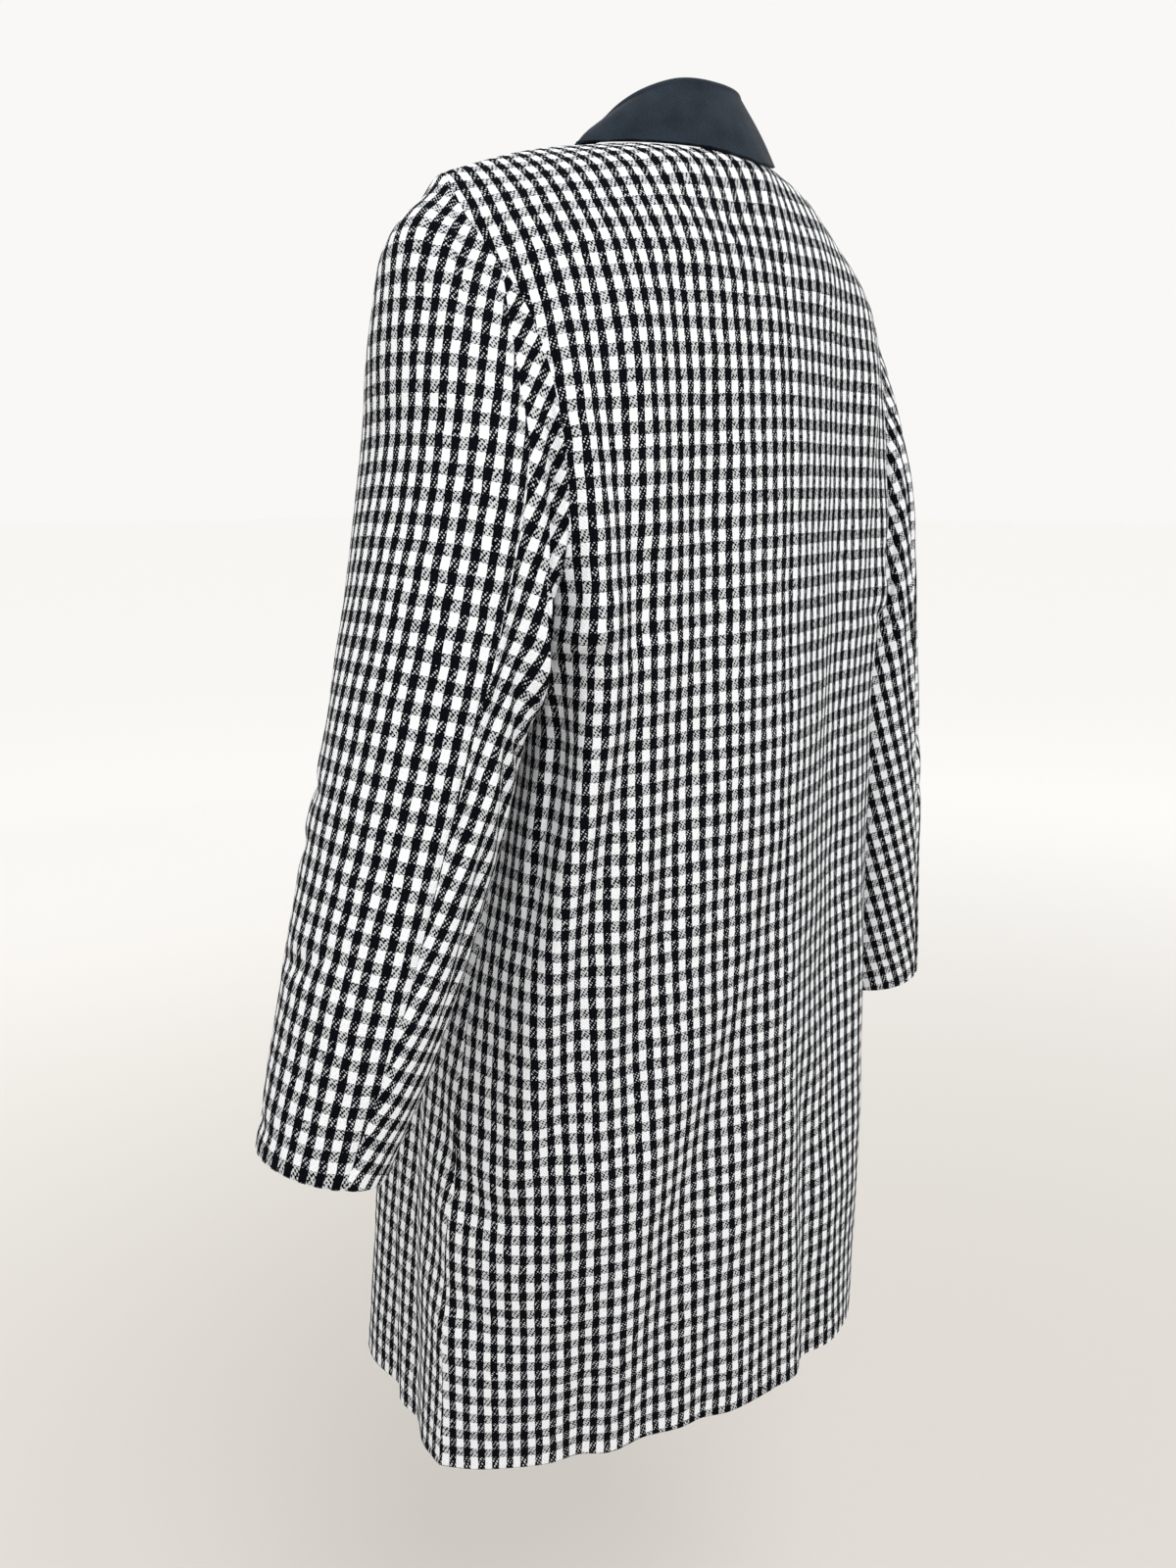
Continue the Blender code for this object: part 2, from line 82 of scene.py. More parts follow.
# the body: rows above the underarm go by armhole angle, rows below by height
body = {
    "backYoke": [  # angle, middle y and z, then x, y, z three times
        (15, 0.086, -0.020, 0.065, 0.062, -0.016, 0.115, 0.042, -0.026, 0.165, 0.024, -0.040),
        (30, 0.094, -0.055, 0.070, 0.088, -0.056, 0.130, 0.068, -0.060, 0.172, 0.048, -0.066),
        (60, 0.102, -0.118, 0.075, 0.103, -0.119, 0.130, 0.094, -0.122, 0.163, 0.080, -0.124),
        (90, 0.107, -0.190, 0.080, 0.109, -0.191, 0.125, 0.105, -0.194, 0.160, 0.094, -0.198),
        (120, 0.109, -0.255, 0.080, 0.111, -0.256, 0.125, 0.108, -0.258, 0.160, 0.098, -0.261),
        (150, 0.111, -0.300, 0.085, 0.112, -0.301, 0.140, 0.106, -0.304, 0.177, 0.086, -0.307),
        (180, 0.112, -0.325, 0.090, 0.112, -0.325, 0.150, 0.103, -0.325, 0.175, 0.064, -0.325),
    ],
    "frontYoke": [
        (15, -0.104, -0.100, 0.055, -0.082, -0.076, 0.110, -0.060, -0.050, 0.160, -0.036, -0.045),
        (30, -0.114, -0.125, 0.060, -0.100, -0.112, 0.115, -0.080, -0.090, 0.160, -0.060, -0.075),
        (60, -0.130, -0.165, 0.065, -0.121, -0.158, 0.115, -0.107, -0.143, 0.152, -0.088, -0.131),
        (90, -0.144, -0.210, 0.070, -0.138, -0.208, 0.118, -0.124, -0.200, 0.152, -0.102, -0.193),
        (120, -0.154, -0.260, 0.075, -0.148, -0.260, 0.125, -0.134, -0.256, 0.158, -0.107, -0.253),
        (150, -0.160, -0.300, 0.080, -0.154, -0.301, 0.132, -0.137, -0.302, 0.160, -0.102, -0.303),
        (180, -0.163, -0.325, 0.085, -0.156, -0.325, 0.136, -0.134, -0.325, 0.160, -0.080, -0.325),
    ],
    "backSkirt": [  # z, middle y, x and y three times, side x and y
        (-0.37, 0.113, 0.090, 0.111, 0.148, 0.100, 0.170, 0.060, 0.156, 0.000),
        (-0.45, 0.113, 0.090, 0.109, 0.150, 0.096, 0.178, 0.056, 0.167, 0.000),
        (-0.56, 0.112, 0.090, 0.106, 0.150, 0.092, 0.187, 0.054, 0.190, 0.001),
        (-0.72, 0.110, 0.088, 0.101, 0.145, 0.086, 0.191, 0.048, 0.208, 0.005),
        (hemZ, 0.107, 0.085, 0.095, 0.139, 0.075, 0.192, 0.038, 0.217, 0.010),
    ],
    "frontSkirt": [
        (-0.37, -0.166, 0.086, -0.158, 0.138, -0.134, 0.160, -0.072, 0.156, 0.000),
        (-0.45, -0.171, 0.088, -0.162, 0.140, -0.137, 0.167, -0.066, 0.167, 0.000),
        (-0.56, -0.179, 0.090, -0.170, 0.144, -0.143, 0.183, -0.052, 0.190, 0.001),
        (-0.72, -0.190, 0.092, -0.182, 0.146, -0.154, 0.195, -0.044, 0.208, 0.005),
        (hemZ, -0.202, 0.094, -0.194, 0.147, -0.168, 0.200, -0.038, 0.217, 0.010),
    ],
    "swing": [  # z, slope, drift: the coat is turned a little on its wearer
        (hemZ, -0.135, 0.030), (-0.50, 0.0, 0.006), (-0.33, 0.038, 0.0),
        (-0.20, 0.038, 0.0), (-0.05, 0.0, 0.0), (0.05, 0.0, 0.0),
    ],
    "neckBack": (0.066, -0.006), "neckSide": (0.066, -0.004, 0.002), "neckFront": (-0.094, -0.082),
    "lap": 0.024, "lapLift": 0.005, "lapEase": 0.03,
    "shoulderBow": 0.004,  # how far the shoulder seam bows up
    "turnPerMetre": 600,   # spaces the skirt's rows after the armhole's, which go by angle
    "edgeFrom": 0.6,       # from this share of a row it bends to meet the armhole
}


def smoothCurve(points, places, stops):  # the curve through points that stand at places, read at stops
    points, places = np.asarray(points, float), np.asarray(places, float)
    stops = np.clip(np.asarray(stops, float), places[0], places[-1])
    steps = np.diff(places)
    slopes = np.diff(points, axis=0) / steps[:, None]
    tangents = np.empty_like(points)
    tangents[0], tangents[-1] = slopes[0], slopes[-1]
    near, far = steps[1:, None], steps[:-1, None]
    tangents[1:-1] = (slopes[:-1] * near + slopes[1:] * far) / (near + far)
    span = np.clip(np.searchsorted(places, stops, side="right") - 1, 0, len(steps) - 1)
    width = steps[span][:, None]
    t = (stops - places[span])[:, None] / width
    return (
        (1 + 2 * t) * (1 - t) ** 2 * points[span] + t * (1 - t) ** 2 * width * tangents[span]
        + t * t * (3 - 2 * t) * points[span + 1] + t * t * (t - 1) * width * tangents[span + 1]
    )


def lengthsAlong(points):  # how far along the line each point is
    return np.concatenate([[0], np.cumsum(np.linalg.norm(np.diff(points, axis=0), axis=1))])


def evenCurve(points, count):
    places = lengthsAlong(np.asarray(points, float))
    fine = smoothCurve(points, places, np.linspace(0, places[-1], gridding["curveSteps"] * count))
    length = lengthsAlong(fine)
    marks = np.linspace(0, length[-1], count)
    return np.stack([np.interp(marks, length, fine[:, axis]) for axis in range(3)], axis=1)


def easing(value):  # 0 to 1, with soft ends
    value = np.clip(value, 0, 1)
    return value * value * (3 - 2 * value)


def mirrored(panel):
    return panel * (-1, 1, 1)


def swung(points):
    points, table = np.array(points, float), np.array(body["swing"])
    slope = np.interp(points[..., 2], table[:, 0], table[:, 1])
    drift = np.interp(points[..., 2], table[:, 0], table[:, 2])
    behind = np.clip(points[..., 1] / 0.1, 0, 1)
    across = np.clip(points[..., 0] / 0.22, -1, 1)
    points[..., 1] += slope * points[..., 0]
    points[..., 0] -= drift * behind * (1 - across**2)
    return points


def armholePoints(angles):
    return smoothCurve(armhole[:, 1:], armhole[:, 0], angles)


def neckLine(front, places):  # 0 at the middle, 90 where the shoulder seam starts
    turn = np.radians(places)
    sideX, sideY, sideZ = body["neckSide"]
    middleY, middleZ = body["neckFront"] if front else body["neckBack"]
    x = sideX * np.sin(turn)
    y = sideY + (middleY - sideY) * np.cos(turn)
    z = sideZ + (middleZ - sideZ) * np.maximum(np.cos(turn), 0) ** (1.5 if front else 1.0)
    return np.stack([x, y, z], axis=1)


def bodyPanel(front):  # rows from the shoulder to the hem, each from the middle to the side seam
    sign = -1 if front else 1
    half = "front" if front else "back"
    yoke, skirt = body[half + "Yoke"], body[half + "Skirt"]
    columns = gridding["columnGroups"] * gridding["columnSteps"] + 1
    neckColumns = gridding["neckGroups"] * gridding["columnSteps"] + 1
    neck = neckLine(front, np.linspace(0, 90, neckColumns))
    share = np.linspace(0, 1, columns - neckColumns + 1)[1:, None]
    bow = np.array([0, 0, body["shoulderBow"]]) * np.sin(math.pi * share)
    rows = [np.concatenate([neck, neck[-1] * (1 - share) + armholePoints([0])[0] * share + bow])]
    for row in yoke:
        inner = np.array(row[3:]).reshape(3, 3)
        rows.append(evenCurve([(0.0, *row[1:3]), *inner, armholePoints([sign * row[0]])[0]], columns))
    for row in skirt:
        inner = np.array(row[2:]).reshape(4, 2)
        line = np.stack([[0, *inner[:, 0]], [row[1], *inner[:, 1]], np.full(5, row[0])], axis=1)
        rows.append(evenCurve(line, columns))
    rows = np.array(rows)
    lower = [180 + body["turnPerMetre"] * (underarmZ - row[0]) for row in skirt]
    places = [0, *(row[0] for row in yoke), *lower]
    above = np.arange(0, 180, gridding["armholeStep"])
    below = np.linspace(180, places[-1], gridding["skirtRows"])
    stops = np.concatenate([above, below])
    panel = smoothCurve(rows.reshape(len(rows), -1), places, stops).reshape(len(stops), columns, 3)
    # the last column runs exactly down the armhole and then the side seam
    edge = np.concatenate([
        armholePoints(sign * above),
        smoothCurve(rows[len(yoke):, -1], places[len(yoke):], below),
    ])
    share = easing((np.arange(columns) / (columns - 1) - body["edgeFrom"]) / (1 - body["edgeFrom"]))
    return panel + (edge - panel[:, -1])[:, None] * share[None, :, None]


def lappedFront(panel, over):  # the front carried past the middle, the upper one standing out a little
    widths = np.linspace(body["lap"], body["lap"] / gridding["lapSteps"], gridding["lapSteps"])
    extra = np.empty((len(panel), len(widths), 3))
    for row, line in enumerate(panel):
        extra[row, :, 0] = -widths
        extra[row, :, 1] = np.interp(widths, line[:, 0], line[:, 1])
        extra[row, :, 2] = np.interp(widths, line[:, 0], line[:, 2])
    whole = np.concatenate([extra, panel], axis=1)
    if over:
        near = easing(1 - (whole[:, :, 0] - body["lap"]) / body["lapEase"])
        down = np.gradient(panel[:, 0, 1:], axis=0)
        down /= np.linalg.norm(down, axis=1, keepdims=True)
        whole[:, :, 1] += body["lapLift"] * near * down[:, 1:]
        whole[:, :, 2] -= body["lapLift"] * near * down[:, :1]
    return whole


# sleeves: middle of each ring down the arm, half its width and half its depth
sleeves = {
    "left": [
        (0.189, 0.006, -0.205, 0.060, 0.076), (0.212, 0.010, -0.300, 0.060, 0.072),
        (0.2325, 0.010, -0.370, 0.0580, 0.065), (0.2540, 0.005, -0.450, 0.0565, 0.062),
        (0.2800, 0.000, -0.540, 0.0510, 0.055), (0.3080, -0.010, -0.633, 0.0420, 0.043),
    ],
    "right": [
        (0.189, 0.006, -0.205, 0.060, 0.076), (0.209, 0.012, -0.300, 0.058, 0.072),
        (0.2280, 0.014, -0.370, 0.0540, 0.064), (0.2450, 0.018, -0.460, 0.0520, 0.058),
        (0.2660, 0.019, -0.560, 0.0480, 0.050), (0.2840, 0.020, -0.656, 0.0420, 0.043),
    ],
    "foreStart": -75, "hindStart": 45, "foreSeam": -75, "hindSeam": 75,
    "grain": {"topsleeve": 3.0, "undersleeve": 9.0},  # degrees of the warp off the middle of the piece
    "headShare": 0.45, "swell": (0.010, 0.0, 0.030),  # how the sleeve head rises off the shoulder
    "underFrom": 75, "underSpan": 50, "underOut": (0.006, 0.0, 0.0),  # how the cloth drops under the arm
    "drops": (0.15, 0.35, 0.68), "places": (0.06, 0.13), "radius": 0.07,
}


def sleeveRing(arm, side):  # the whole sleeve: rows from the armhole down, once round from the fore seam
    table = np.array(arm)
    middle, half = table[:, :3], table[:, 3:]
    first, hind = sleeves["foreStart"], sleeves["hindStart"]
    starts = np.arange(first, first + 361, gridding["armholeStep"])
    seams = (sleeves["foreSeam"], sleeves["hindSeam"], sleeves["foreSeam"] + 360)
    around = np.interp(starts, (first, hind, first + 360), seams)
    turn = np.radians(around)
    start = armholePoints((starts + 180) % 360 - 180)
    start = swung(start * (side, 1, 1)) * (side, 1, 1)
    rings = []
    for index in range(len(table)):
        ahead = middle[min(index + 1, len(table) - 1)] - middle[max(index - 1, 0)]
        ahead /= np.linalg.norm(ahead)
        out = np.cross((0.0, 1.0, 0.0), ahead)
        out *= np.sign(out[0]) / np.linalg.norm(out)
        back = np.cross(ahead, out)
        back *= np.sign(back[1])
        outward = half[index, 0] * np.cos(turn)[:, None] * out
        backward = half[index, 1] * np.sin(turn)[:, None] * back
        rings.append(middle[index] + outward + backward)
    swell = np.maximum(np.cos(turn), 0)[:, None] ** 1.5
    share = sleeves["headShare"]
    shoulder = start * share + rings[0] * (1 - share) + swell * sleeves["swell"]
    fromTop = np.abs((around + 180) % 360 - 180)
    under = easing((fromTop - sleeves["underFrom"]) / sleeves["underSpan"])[:, None]
    drop = rings[2] - start + sleeves["underOut"]
    rings = [start, shoulder, *rings]
    for ring, share in enumerate(sleeves["drops"], 1):
        rings[ring] = rings[ring] * (1 - under) + (start + share * drop) * under
    rings = np.array(rings) * (side, 1, 1)
    headPlace, ringPlace = sleeves["places"]
    places = np.array([0.0, headPlace, *(ringPlace + np.linalg.norm(middle - middle[0], axis=1))])
    stops = np.linspace(0, places[-1], gridding["sleeveRows"])
    grid = smoothCurve(rings.reshape(len(rings), -1), places, stops).reshape(len(stops), len(starts), 3)
    return grid, np.radians(around) * sleeves["radius"], stops


# Each crease is a soft trough, or with a negative depth a ridge. It is its lean, which tips it into a fold
# with one steep side, then its points in millimetres: (across, height, half width, depth). Across is how
# far round the body from the centre back, to the wearer's left.
bodyCreases = [
    # the long fold from the near shoulder blade down and round to the side
    (-0.75, (148, -70, 10, 0), (144, -110, 13, 4), (136, -170, 16, 9), (125, -245, 18, 13),
     (119, -310, 18, 15), (120, -355, 18, 15), (129, -415, 18, 14), (144, -490, 18, 12.5),
     (159, -570, 19, 10.5), (173, -650, 20, 7.4), (192, -695, 20, 4.4), (215, -720, 18, 0)),
    # from the middle of the back down to the hem
    (-0.5, (6, -440, 12, 0), (12, -505, 18, 2.8), (24, -560, 23, 5.2), (40, -612, 26, 7.2),
     (56, -660, 28, 8.4), (74, -720, 29, 8.4), (88, -790, 28, 7.8), (100, -862, 26, 6.6),
     (106, -920, 25, 5.8)),
    # the back stands out along its middle seam and falls away to the right of it
    (0.0, (6, -20, 34, 0), (6, -100, 40, -5.5), (6, -300, 42, -6.5), (6, -550, 40, -6),
     (8, -800, 40, -4.8), (10, -925, 40, -4.4)),
    (0.0, (-84, -40, 34, 0), (-86, -120, 42, 8), (-88, -300, 44, 10), (-86, -550, 44, 9.6),
     (-84, -680, 40, 5.6), (-80, -780, 36, 0)),
    # and it lies hollow between that ridge and the long fold from the shoulder blade
    (0.0, (82, -80, 26, 0), (86, -150, 32, 6), (84, -300, 34, 8.5), (88, -420, 34, 8.5),
     (104, -520, 34, 7), (120, -620, 34, 3.6), (134, -700, 32, 0)),
    # under the arm the cloth turns a corner and goes in
    (0.8, (150, -325, 8, 0), (153, -352, 10, 8), (157, -395, 11, 11.5), (164, -438, 12, 10.5),
     (176, -486, 13, 6.5), (190, -530, 14, 0)),
    # the deep one right of the middle seam, which steps the hem
    (-0.6, (-30, -620, 12, 0), (-41, -690, 15, 5), (-49, -780, 17, 8.5), (-56, -860, 18, 11.5),
     (-60, -925, 18, 12.5)),
    # a slack swag at the near side, with a smaller one under it
    (0.0, (290, -610, 20, 0), (262, -675, 22, 3.4), (228, -705, 22, 4), (196, -700, 20, 0)),
    (0.0, (300, -700, 20, 0), (268, -770, 24, 2.8), (225, -800, 24, 2.2), (190, -790, 20, 0)),
    # drag lines under the collar
    (0.0, (132, -10, 8, 0), (110, -26, 10, 1.6), (78, -40, 10, 1.8), (50, -50, 8, 0)),
    (0.0, (20, -28, 7, 0), (45, -60, 9, 1.4), (62, -100, 9, 0)),
    # the far side of the back answers the near one
    (-0.2, (-142, -85, 10, 0), (-136, -150, 15, 4), (-122, -240, 17, 5.2), (-112, -330, 18, 5),
     (-118, -430, 19, 4.6), (-130, -530, 20, 5), (-140, -650, 22, 5), (-150, -780, 24, 3.5),
     (-155, -860, 22, 0)),
    (-0.1, (-190, -520, 14, 0), (-205, -620, 20, 4.5), (-214, -760, 23, 6), (-220, -925, 25, 7)),
    # shallow ones between, of uneven length
    (0.0, (62, -130, 12, 0), (66, -220, 16, 2), (64, -300, 16, 2.2), (58, -380, 14, 0)),
    (0.0, (85, -420, 12, 0), (98, -520, 15, 2.2), (112, -620, 16, 2.4), (128, -740, 16, 0)),
    (0.0, (-60, -180, 12, 0), (-66, -290, 16, 2), (-62, -420, 16, 1.6), (-56, -500, 14, 0)),
    (0.1, (140, -780, 14, 0), (150, -850, 18, 3), (158, -925, 20, 4.5)),
    (0.0, (30, -780, 12, 0), (38, -850, 16, 2.2), (43, -925, 18, 3.4)),
    # underarm strain on the body, each side
    (0.1, (235, -330, 8, 0), (205, -345, 10, 3), (170, -372, 12, 2.6), (140, -405, 12, 0)),
    (0.1, (-235, -330, 8, 0), (-208, -350, 10, 3), (-176, -380, 12, 2.6), (-150, -420, 12, 0)),
    # the fronts: drag from the shoulders and chest, then long folds to the hem
    (0.15, (395, -100, 10, 0), (405, -170, 14, 5.6), (415, -260, 16, 7.7), (412, -370, 18, 8),
     (402, -490, 20, 7.7), (396, -610, 22, 8.3), (392, -760, 24, 9.6), (390, -925, 25, 10.4)),
    (-0.15, (-392, -95, 10, 0), (-400, -180, 14, 5.8), (-410, -280, 16, 7), (-404, -400, 18, 8),
     (-400, -540, 20, 7), (-392, -680, 22, 9.6), (-396, -820, 24, 10.2), (-398, -925, 25, 10.9)),
    (0.1, (455, -360, 12, 0), (460, -470, 16, 4.2), (466, -600, 18, 5.4), (470, -760, 20, 5.8),
     (472, -925, 22, 7.4)),
    (-0.1, (-450, -420, 12, 0), (-456, -540, 16, 4.8), (-462, -700, 18, 4.8), (-466, -925, 22, 8)),
    (0.0, (330, -360, 10, 0), (325, -450, 16, 5.8), (332, -560, 18, 6.4), (340, -700, 22, 5),
     (338, -850, 26, 5), (336, -925, 28, 5)),
    (0.0, (-330, -370, 10, 0), (-322, -480, 16, 5.8), (-330, -620, 18, 7), (-336, -780, 20, 6.4),
     (-330, -925, 22, 9.6)),
    (0.0, (500, -180, 10, 0), (470, -225, 14, 3.5), (440, -262, 14, 4.2), (405, -285, 12, 0)),
    (0.0, (-495, -210, 10, 0), (-468, -250, 14, 3.8), (-430, -290, 14, 3.5), (-400, -330, 12, 0)),
    (0.0, (262, -800, 16, 0), (268, -860, 22, 1.8), (272, -925, 26, 2.6)),
    (0.0, (-270, -700, 14, 0), (-276, -810, 18, 5.4), (-280, -925, 20, 7.7)),
]
# on a sleeve a point is (place round the arm, distance down from the armhole, half width, depth)
leftSleeveCreases = [
    # the head stands out and up over the shoulder
    (0.0, (-55, 20, 16, 0), (-25, 34, 24, -5), (10, 40, 26, -6.5), (45, 36, 22, -3.5), (70, 30, 18, 0)),
    # two lines down from the sleeve head
    (0.1, (37, 6, 6, 0), (38, 30, 8, 2), (36, 60, 9, 2.2), (30, 88, 10, 1.4), (22, 115, 10, 0)),
    (0.0, (55, 12, 6, 0), (60, 36, 8, 1.8), (62, 66, 9, 1.6), (62, 95, 9, 0)),
    # along the hind seam, deepest at the elbow
    (0.2, (98, 60, 8, 0), (92, 110, 10, 2.4), (94, 160, 11, 3.8), (103, 215, 12, 5.2), (106, 262, 12, 5.4),
     (105, 312, 12, 5), (101, 365, 12, 4), (97, 420, 12, 2), (94, 480, 12, 0)),
    # the bunch under the arm: short folds close together
    (0.0, (130, 124, 18, 0), (136, 160, 30, -5), (141, 194, 34, -12), (143, 226, 34, -14.5),
     (144, 256, 26, -9), (145, 286, 16, 0)),
    (0.3, (104, 204, 8, 0), (118, 234, 11, 4), (136, 262, 12, 5.8), (156, 272, 10, 0)),
    (0.2, (112, 240, 8, 0), (128, 270, 9, 3.8), (146, 298, 9, 3.8), (164, 312, 8, 0)),
    (0.2, (112, 262, 6, 0), (126, 296, 8, 4.4), (142, 334, 9, 4.4), (152, 366, 8, 0)),
    (0.1, (118, 330, 7, 0), (130, 380, 9, 3.4), (138, 440, 9, 2.8), (140, 500, 8, 0)),
    # at the elbow and above the cuff
    (0.0, (-50, 448, 8, 0), (-20, 452, 10, 2.2), (12, 442, 10, 1.8), (44, 426, 9, 0)),
    (0.0, (-62, 545, 7, 0), (-34, 556, 9, 2), (-4, 556, 9, 1.2), (24, 550, 8, 0)),
    # inside of the elbow
    (0.2, (-92, 300, 7, 0), (-70, 330, 10, 3.6), (-40, 345, 10, 2.8), (-12, 345, 8, 0)),
    (0.2, (-94, 362, 7, 0), (-70, 378, 10, 3.4), (-42, 380, 10, 2.2), (-18, 372, 8, 0)),
    (0.0, (232, 250, 8, 0), (240, 330, 12, 2.6), (236, 420, 12, 2.4), (230, 500, 10, 0)),
]
rightSleeveCreases = [
    (-0.1, (34, 8, 6, 0), (36, 34, 8, 1.8), (33, 68, 9, 1.8), (26, 100, 10, 0)),
    (0.0, (-20, 10, 6, 0), (-24, 40, 8, 1.6), (-26, 75, 9, 0)),
    (-0.2, (96, 70, 8, 0), (93, 130, 10, 2.2), (98, 200, 11, 3.4), (104, 270, 12, 4), (104, 340, 12, 3.4),
     (99, 400, 12, 2.4), (95, 470, 12, 0)),
    (-0.3, (120, 160, 7, 0), (134, 200, 9, 4), (152, 232, 9, 4), (170, 250, 8, 0)),
    (-0.2, (118, 225, 6, 0), (136, 256, 8, 3.2), (156, 286, 8, 3), (168, 310, 7, 0)),
    # crumpled above the elbow, at the back
    (-0.3, (20, 330, 7, 0), (50, 345, 9, 3.6), (80, 370, 10, 4), (110, 385, 8, 0)),
    (-0.2, (30, 375, 7, 0), (55, 392, 9, 3.2), (82, 416, 9, 3), (104, 430, 8, 0)),
    (0.0, (-92, 290, 7, 0), (-68, 318, 10, 3.6), (-38, 330, 10, 2.6), (-12, 328, 8, 0)),
    (0.0, (-94, 350, 7, 0), (-66, 372, 10, 3), (-36, 378, 10, 2.4), (-10, 370, 8, 0)),
    (0.0, (228, 260, 8, 0), (236, 350, 12, 2.8), (232, 450, 12, 2), (228, 520, 10, 0)),
]


creaseForm = {"step": 0.006, "leastSteps": 8, "reach": 3.2, "lip": 0.6, "steepness": 1.6}


def creaseShift(across, along, creases):  # how far each point moves out, with all the creases together
    shift = np.zeros(across.shape)
    for lean, *points in creases:
        path = np.array(points, float) / 1000
        length = lengthsAlong(path[:, :2])
        count = max(int(length[-1] / creaseForm["step"]), creaseForm["leastSteps"])
        fine = smoothCurve(path, length, np.linspace(0, length[-1], count))
        reach = creaseForm["reach"] * fine[:, 2].max()
        near = (
            (across > fine[:, 0].min() - reach) & (across < fine[:, 0].max() + reach)
            & (along > fine[:, 1].min() - reach) & (along < fine[:, 1].max() + reach)
        )
        if not near.any():
            continue
        spot = np.stack([across[near], along[near]], axis=1)
        start, step = fine[:-1, :2], np.diff(fine[:, :2], axis=0)
        away = spot[:, None] - start[None]
        share = np.clip((away * step).sum(axis=2) / (step * step).sum(axis=1), 0, 1)
        away -= share[:, :, None] * step[None]
        distance = np.linalg.norm(away, axis=2)
        best = distance.argmin(axis=1)
        pick = np.arange(len(best))
        share, away = share[pick, best], away[pick, best]
        width = fine[best, 2] * (1 - share) + fine[best + 1, 2] * share
        depth = fine[best, 3] * (1 - share) + fine[best + 1, 3] * share
        side = np.sign(step[best, 0] * away[:, 1] - step[best, 1] * away[:, 0])
        q = distance[pick, best] / width
        bell = np.exp(-q * q)
        level = (1 - abs(lean)) * (1 - creaseForm["lip"] * q * q) * bell
        shift[near] -= depth * (level + creaseForm["steepness"] * lean * side * q * bell)
    return shift


def unevenness(points, size):  # the slight waver that no pressed cloth is without
    x, y, z = points[..., 0], points[..., 1], points[..., 2]
    waver = (
        np.sin(31 * x + 17 * z + 1.3) * np.sin(23 * z - 14 * y + 0.4)
        + 0.7 * np.sin(57 * x - 22 * z + 2.1) * np.sin(41 * y + 37 * z)
        + 0.45 * np.sin(96 * x + 61 * y + 3.0) * np.sin(88 * z + 35 * x + 1.1)
        + 0.25 * np.sin(171 * z - 83 * x) * np.sin(158 * x + 149 * y)
    )
    return size * waver


# the body taken as an oval tube, which turns over to the top above topFrom
oval = {
    "middleY": -0.03, "wide": 0.2, "deep": 0.14, "wideSquared": 0.040, "deepSquared": 0.0196,
    "radius": 0.18, "topFrom": -0.17, "topSpan": 0.16, "topWeight": 11,
}


def bodyOut(points):  # outwards: round the body below, over the top at the shoulders
    x, y, z = points[..., 0], points[..., 1] - oval["middleY"], points[..., 2]
    top = oval["topWeight"] * np.clip((z - oval["topFrom"]) / oval["topSpan"], 0, 1) ** 2
    out = np.stack([x / oval["wideSquared"], y / oval["deepSquared"], top], axis=-1)
    return out / np.linalg.norm(out, axis=-1, keepdims=True)


def bodyPlace(points):  # how far round the body from the centre back, in metres
    across, behind = points[..., 0] / oval["wide"], (points[..., 1] - oval["middleY"]) / oval["deep"]
    return oval["radius"] * np.arctan2(across, behind)


def ringOut(grid):  # outwards on a whole sleeve, whose first and last columns are the same seam
    across = np.gradient(np.concatenate([grid[:, -2:-1], grid, grid[:, 1:2]], axis=1), axis=1)[:, 1:-1]
    down = np.gradient(grid, axis=0)
    out = np.cross(across, down)
    out /= np.linalg.norm(out, axis=2, keepdims=True)
    middle = grid[:, :-1].mean(axis=1, keepdims=True)
    return out * np.sign(((grid - middle) * out).sum())


def edgeDistance(panel, side):  # how far each point lies from an edge, along the grid
    if side == "last":
        return edgeDistance(panel[:, ::-1], "first")[:, ::-1]
    if side == "first":
        return edgeDistance(panel.transpose(1, 0, 2), "top").T
    steps = np.linalg.norm(np.diff(panel, axis=0), axis=2)
    return np.concatenate([np.zeros((1, panel.shape[1])), np.cumsum(steps, axis=0)])


def seamed(panel, out, sides):  # sewn edges turn in a little towards the seam
    for side in sides:
        far = edgeDistance(panel, side)
        panel = panel - out * (cloth["seamDip"] * np.exp(-((far / cloth["seamWidth"]) ** 2)))[..., None]
    return panel


def turnedUp(panel, out, width):  # rows added below the last: the fold of the hem, then the turning inside
    roll = cloth["hemRoll"]
    edge, wall = panel[-1], out[-1]
    down = panel[-1] - panel[-3]
    down /= np.linalg.norm(down, axis=1, keepdims=True)
    length = lengthsAlong(panel[::-1].mean(axis=1))
    rows = [panel]
    for bend in np.linspace(0, math.pi, gridding["rollRows"] + 1)[1:]:
        rows.append((edge - wall * roll * (1 - math.cos(bend)) + down * roll * math.sin(bend))[None])
    for rise in np.linspace(0, width, gridding["turningRows"] + 1)[1:]:
        lines = panel[::-1].transpose(1, 2, 0)
        upper = np.array([[np.interp(rise, length, values) for values in line] for line in lines])
        rows.append((upper - wall * 2 * roll)[None])
    return np.concatenate(rows)


def thinned(size):  # every fourth row or column, with both ends
    return np.unique(np.linspace(0, size - 1, max(size // 4, 8)).round().astype(int))


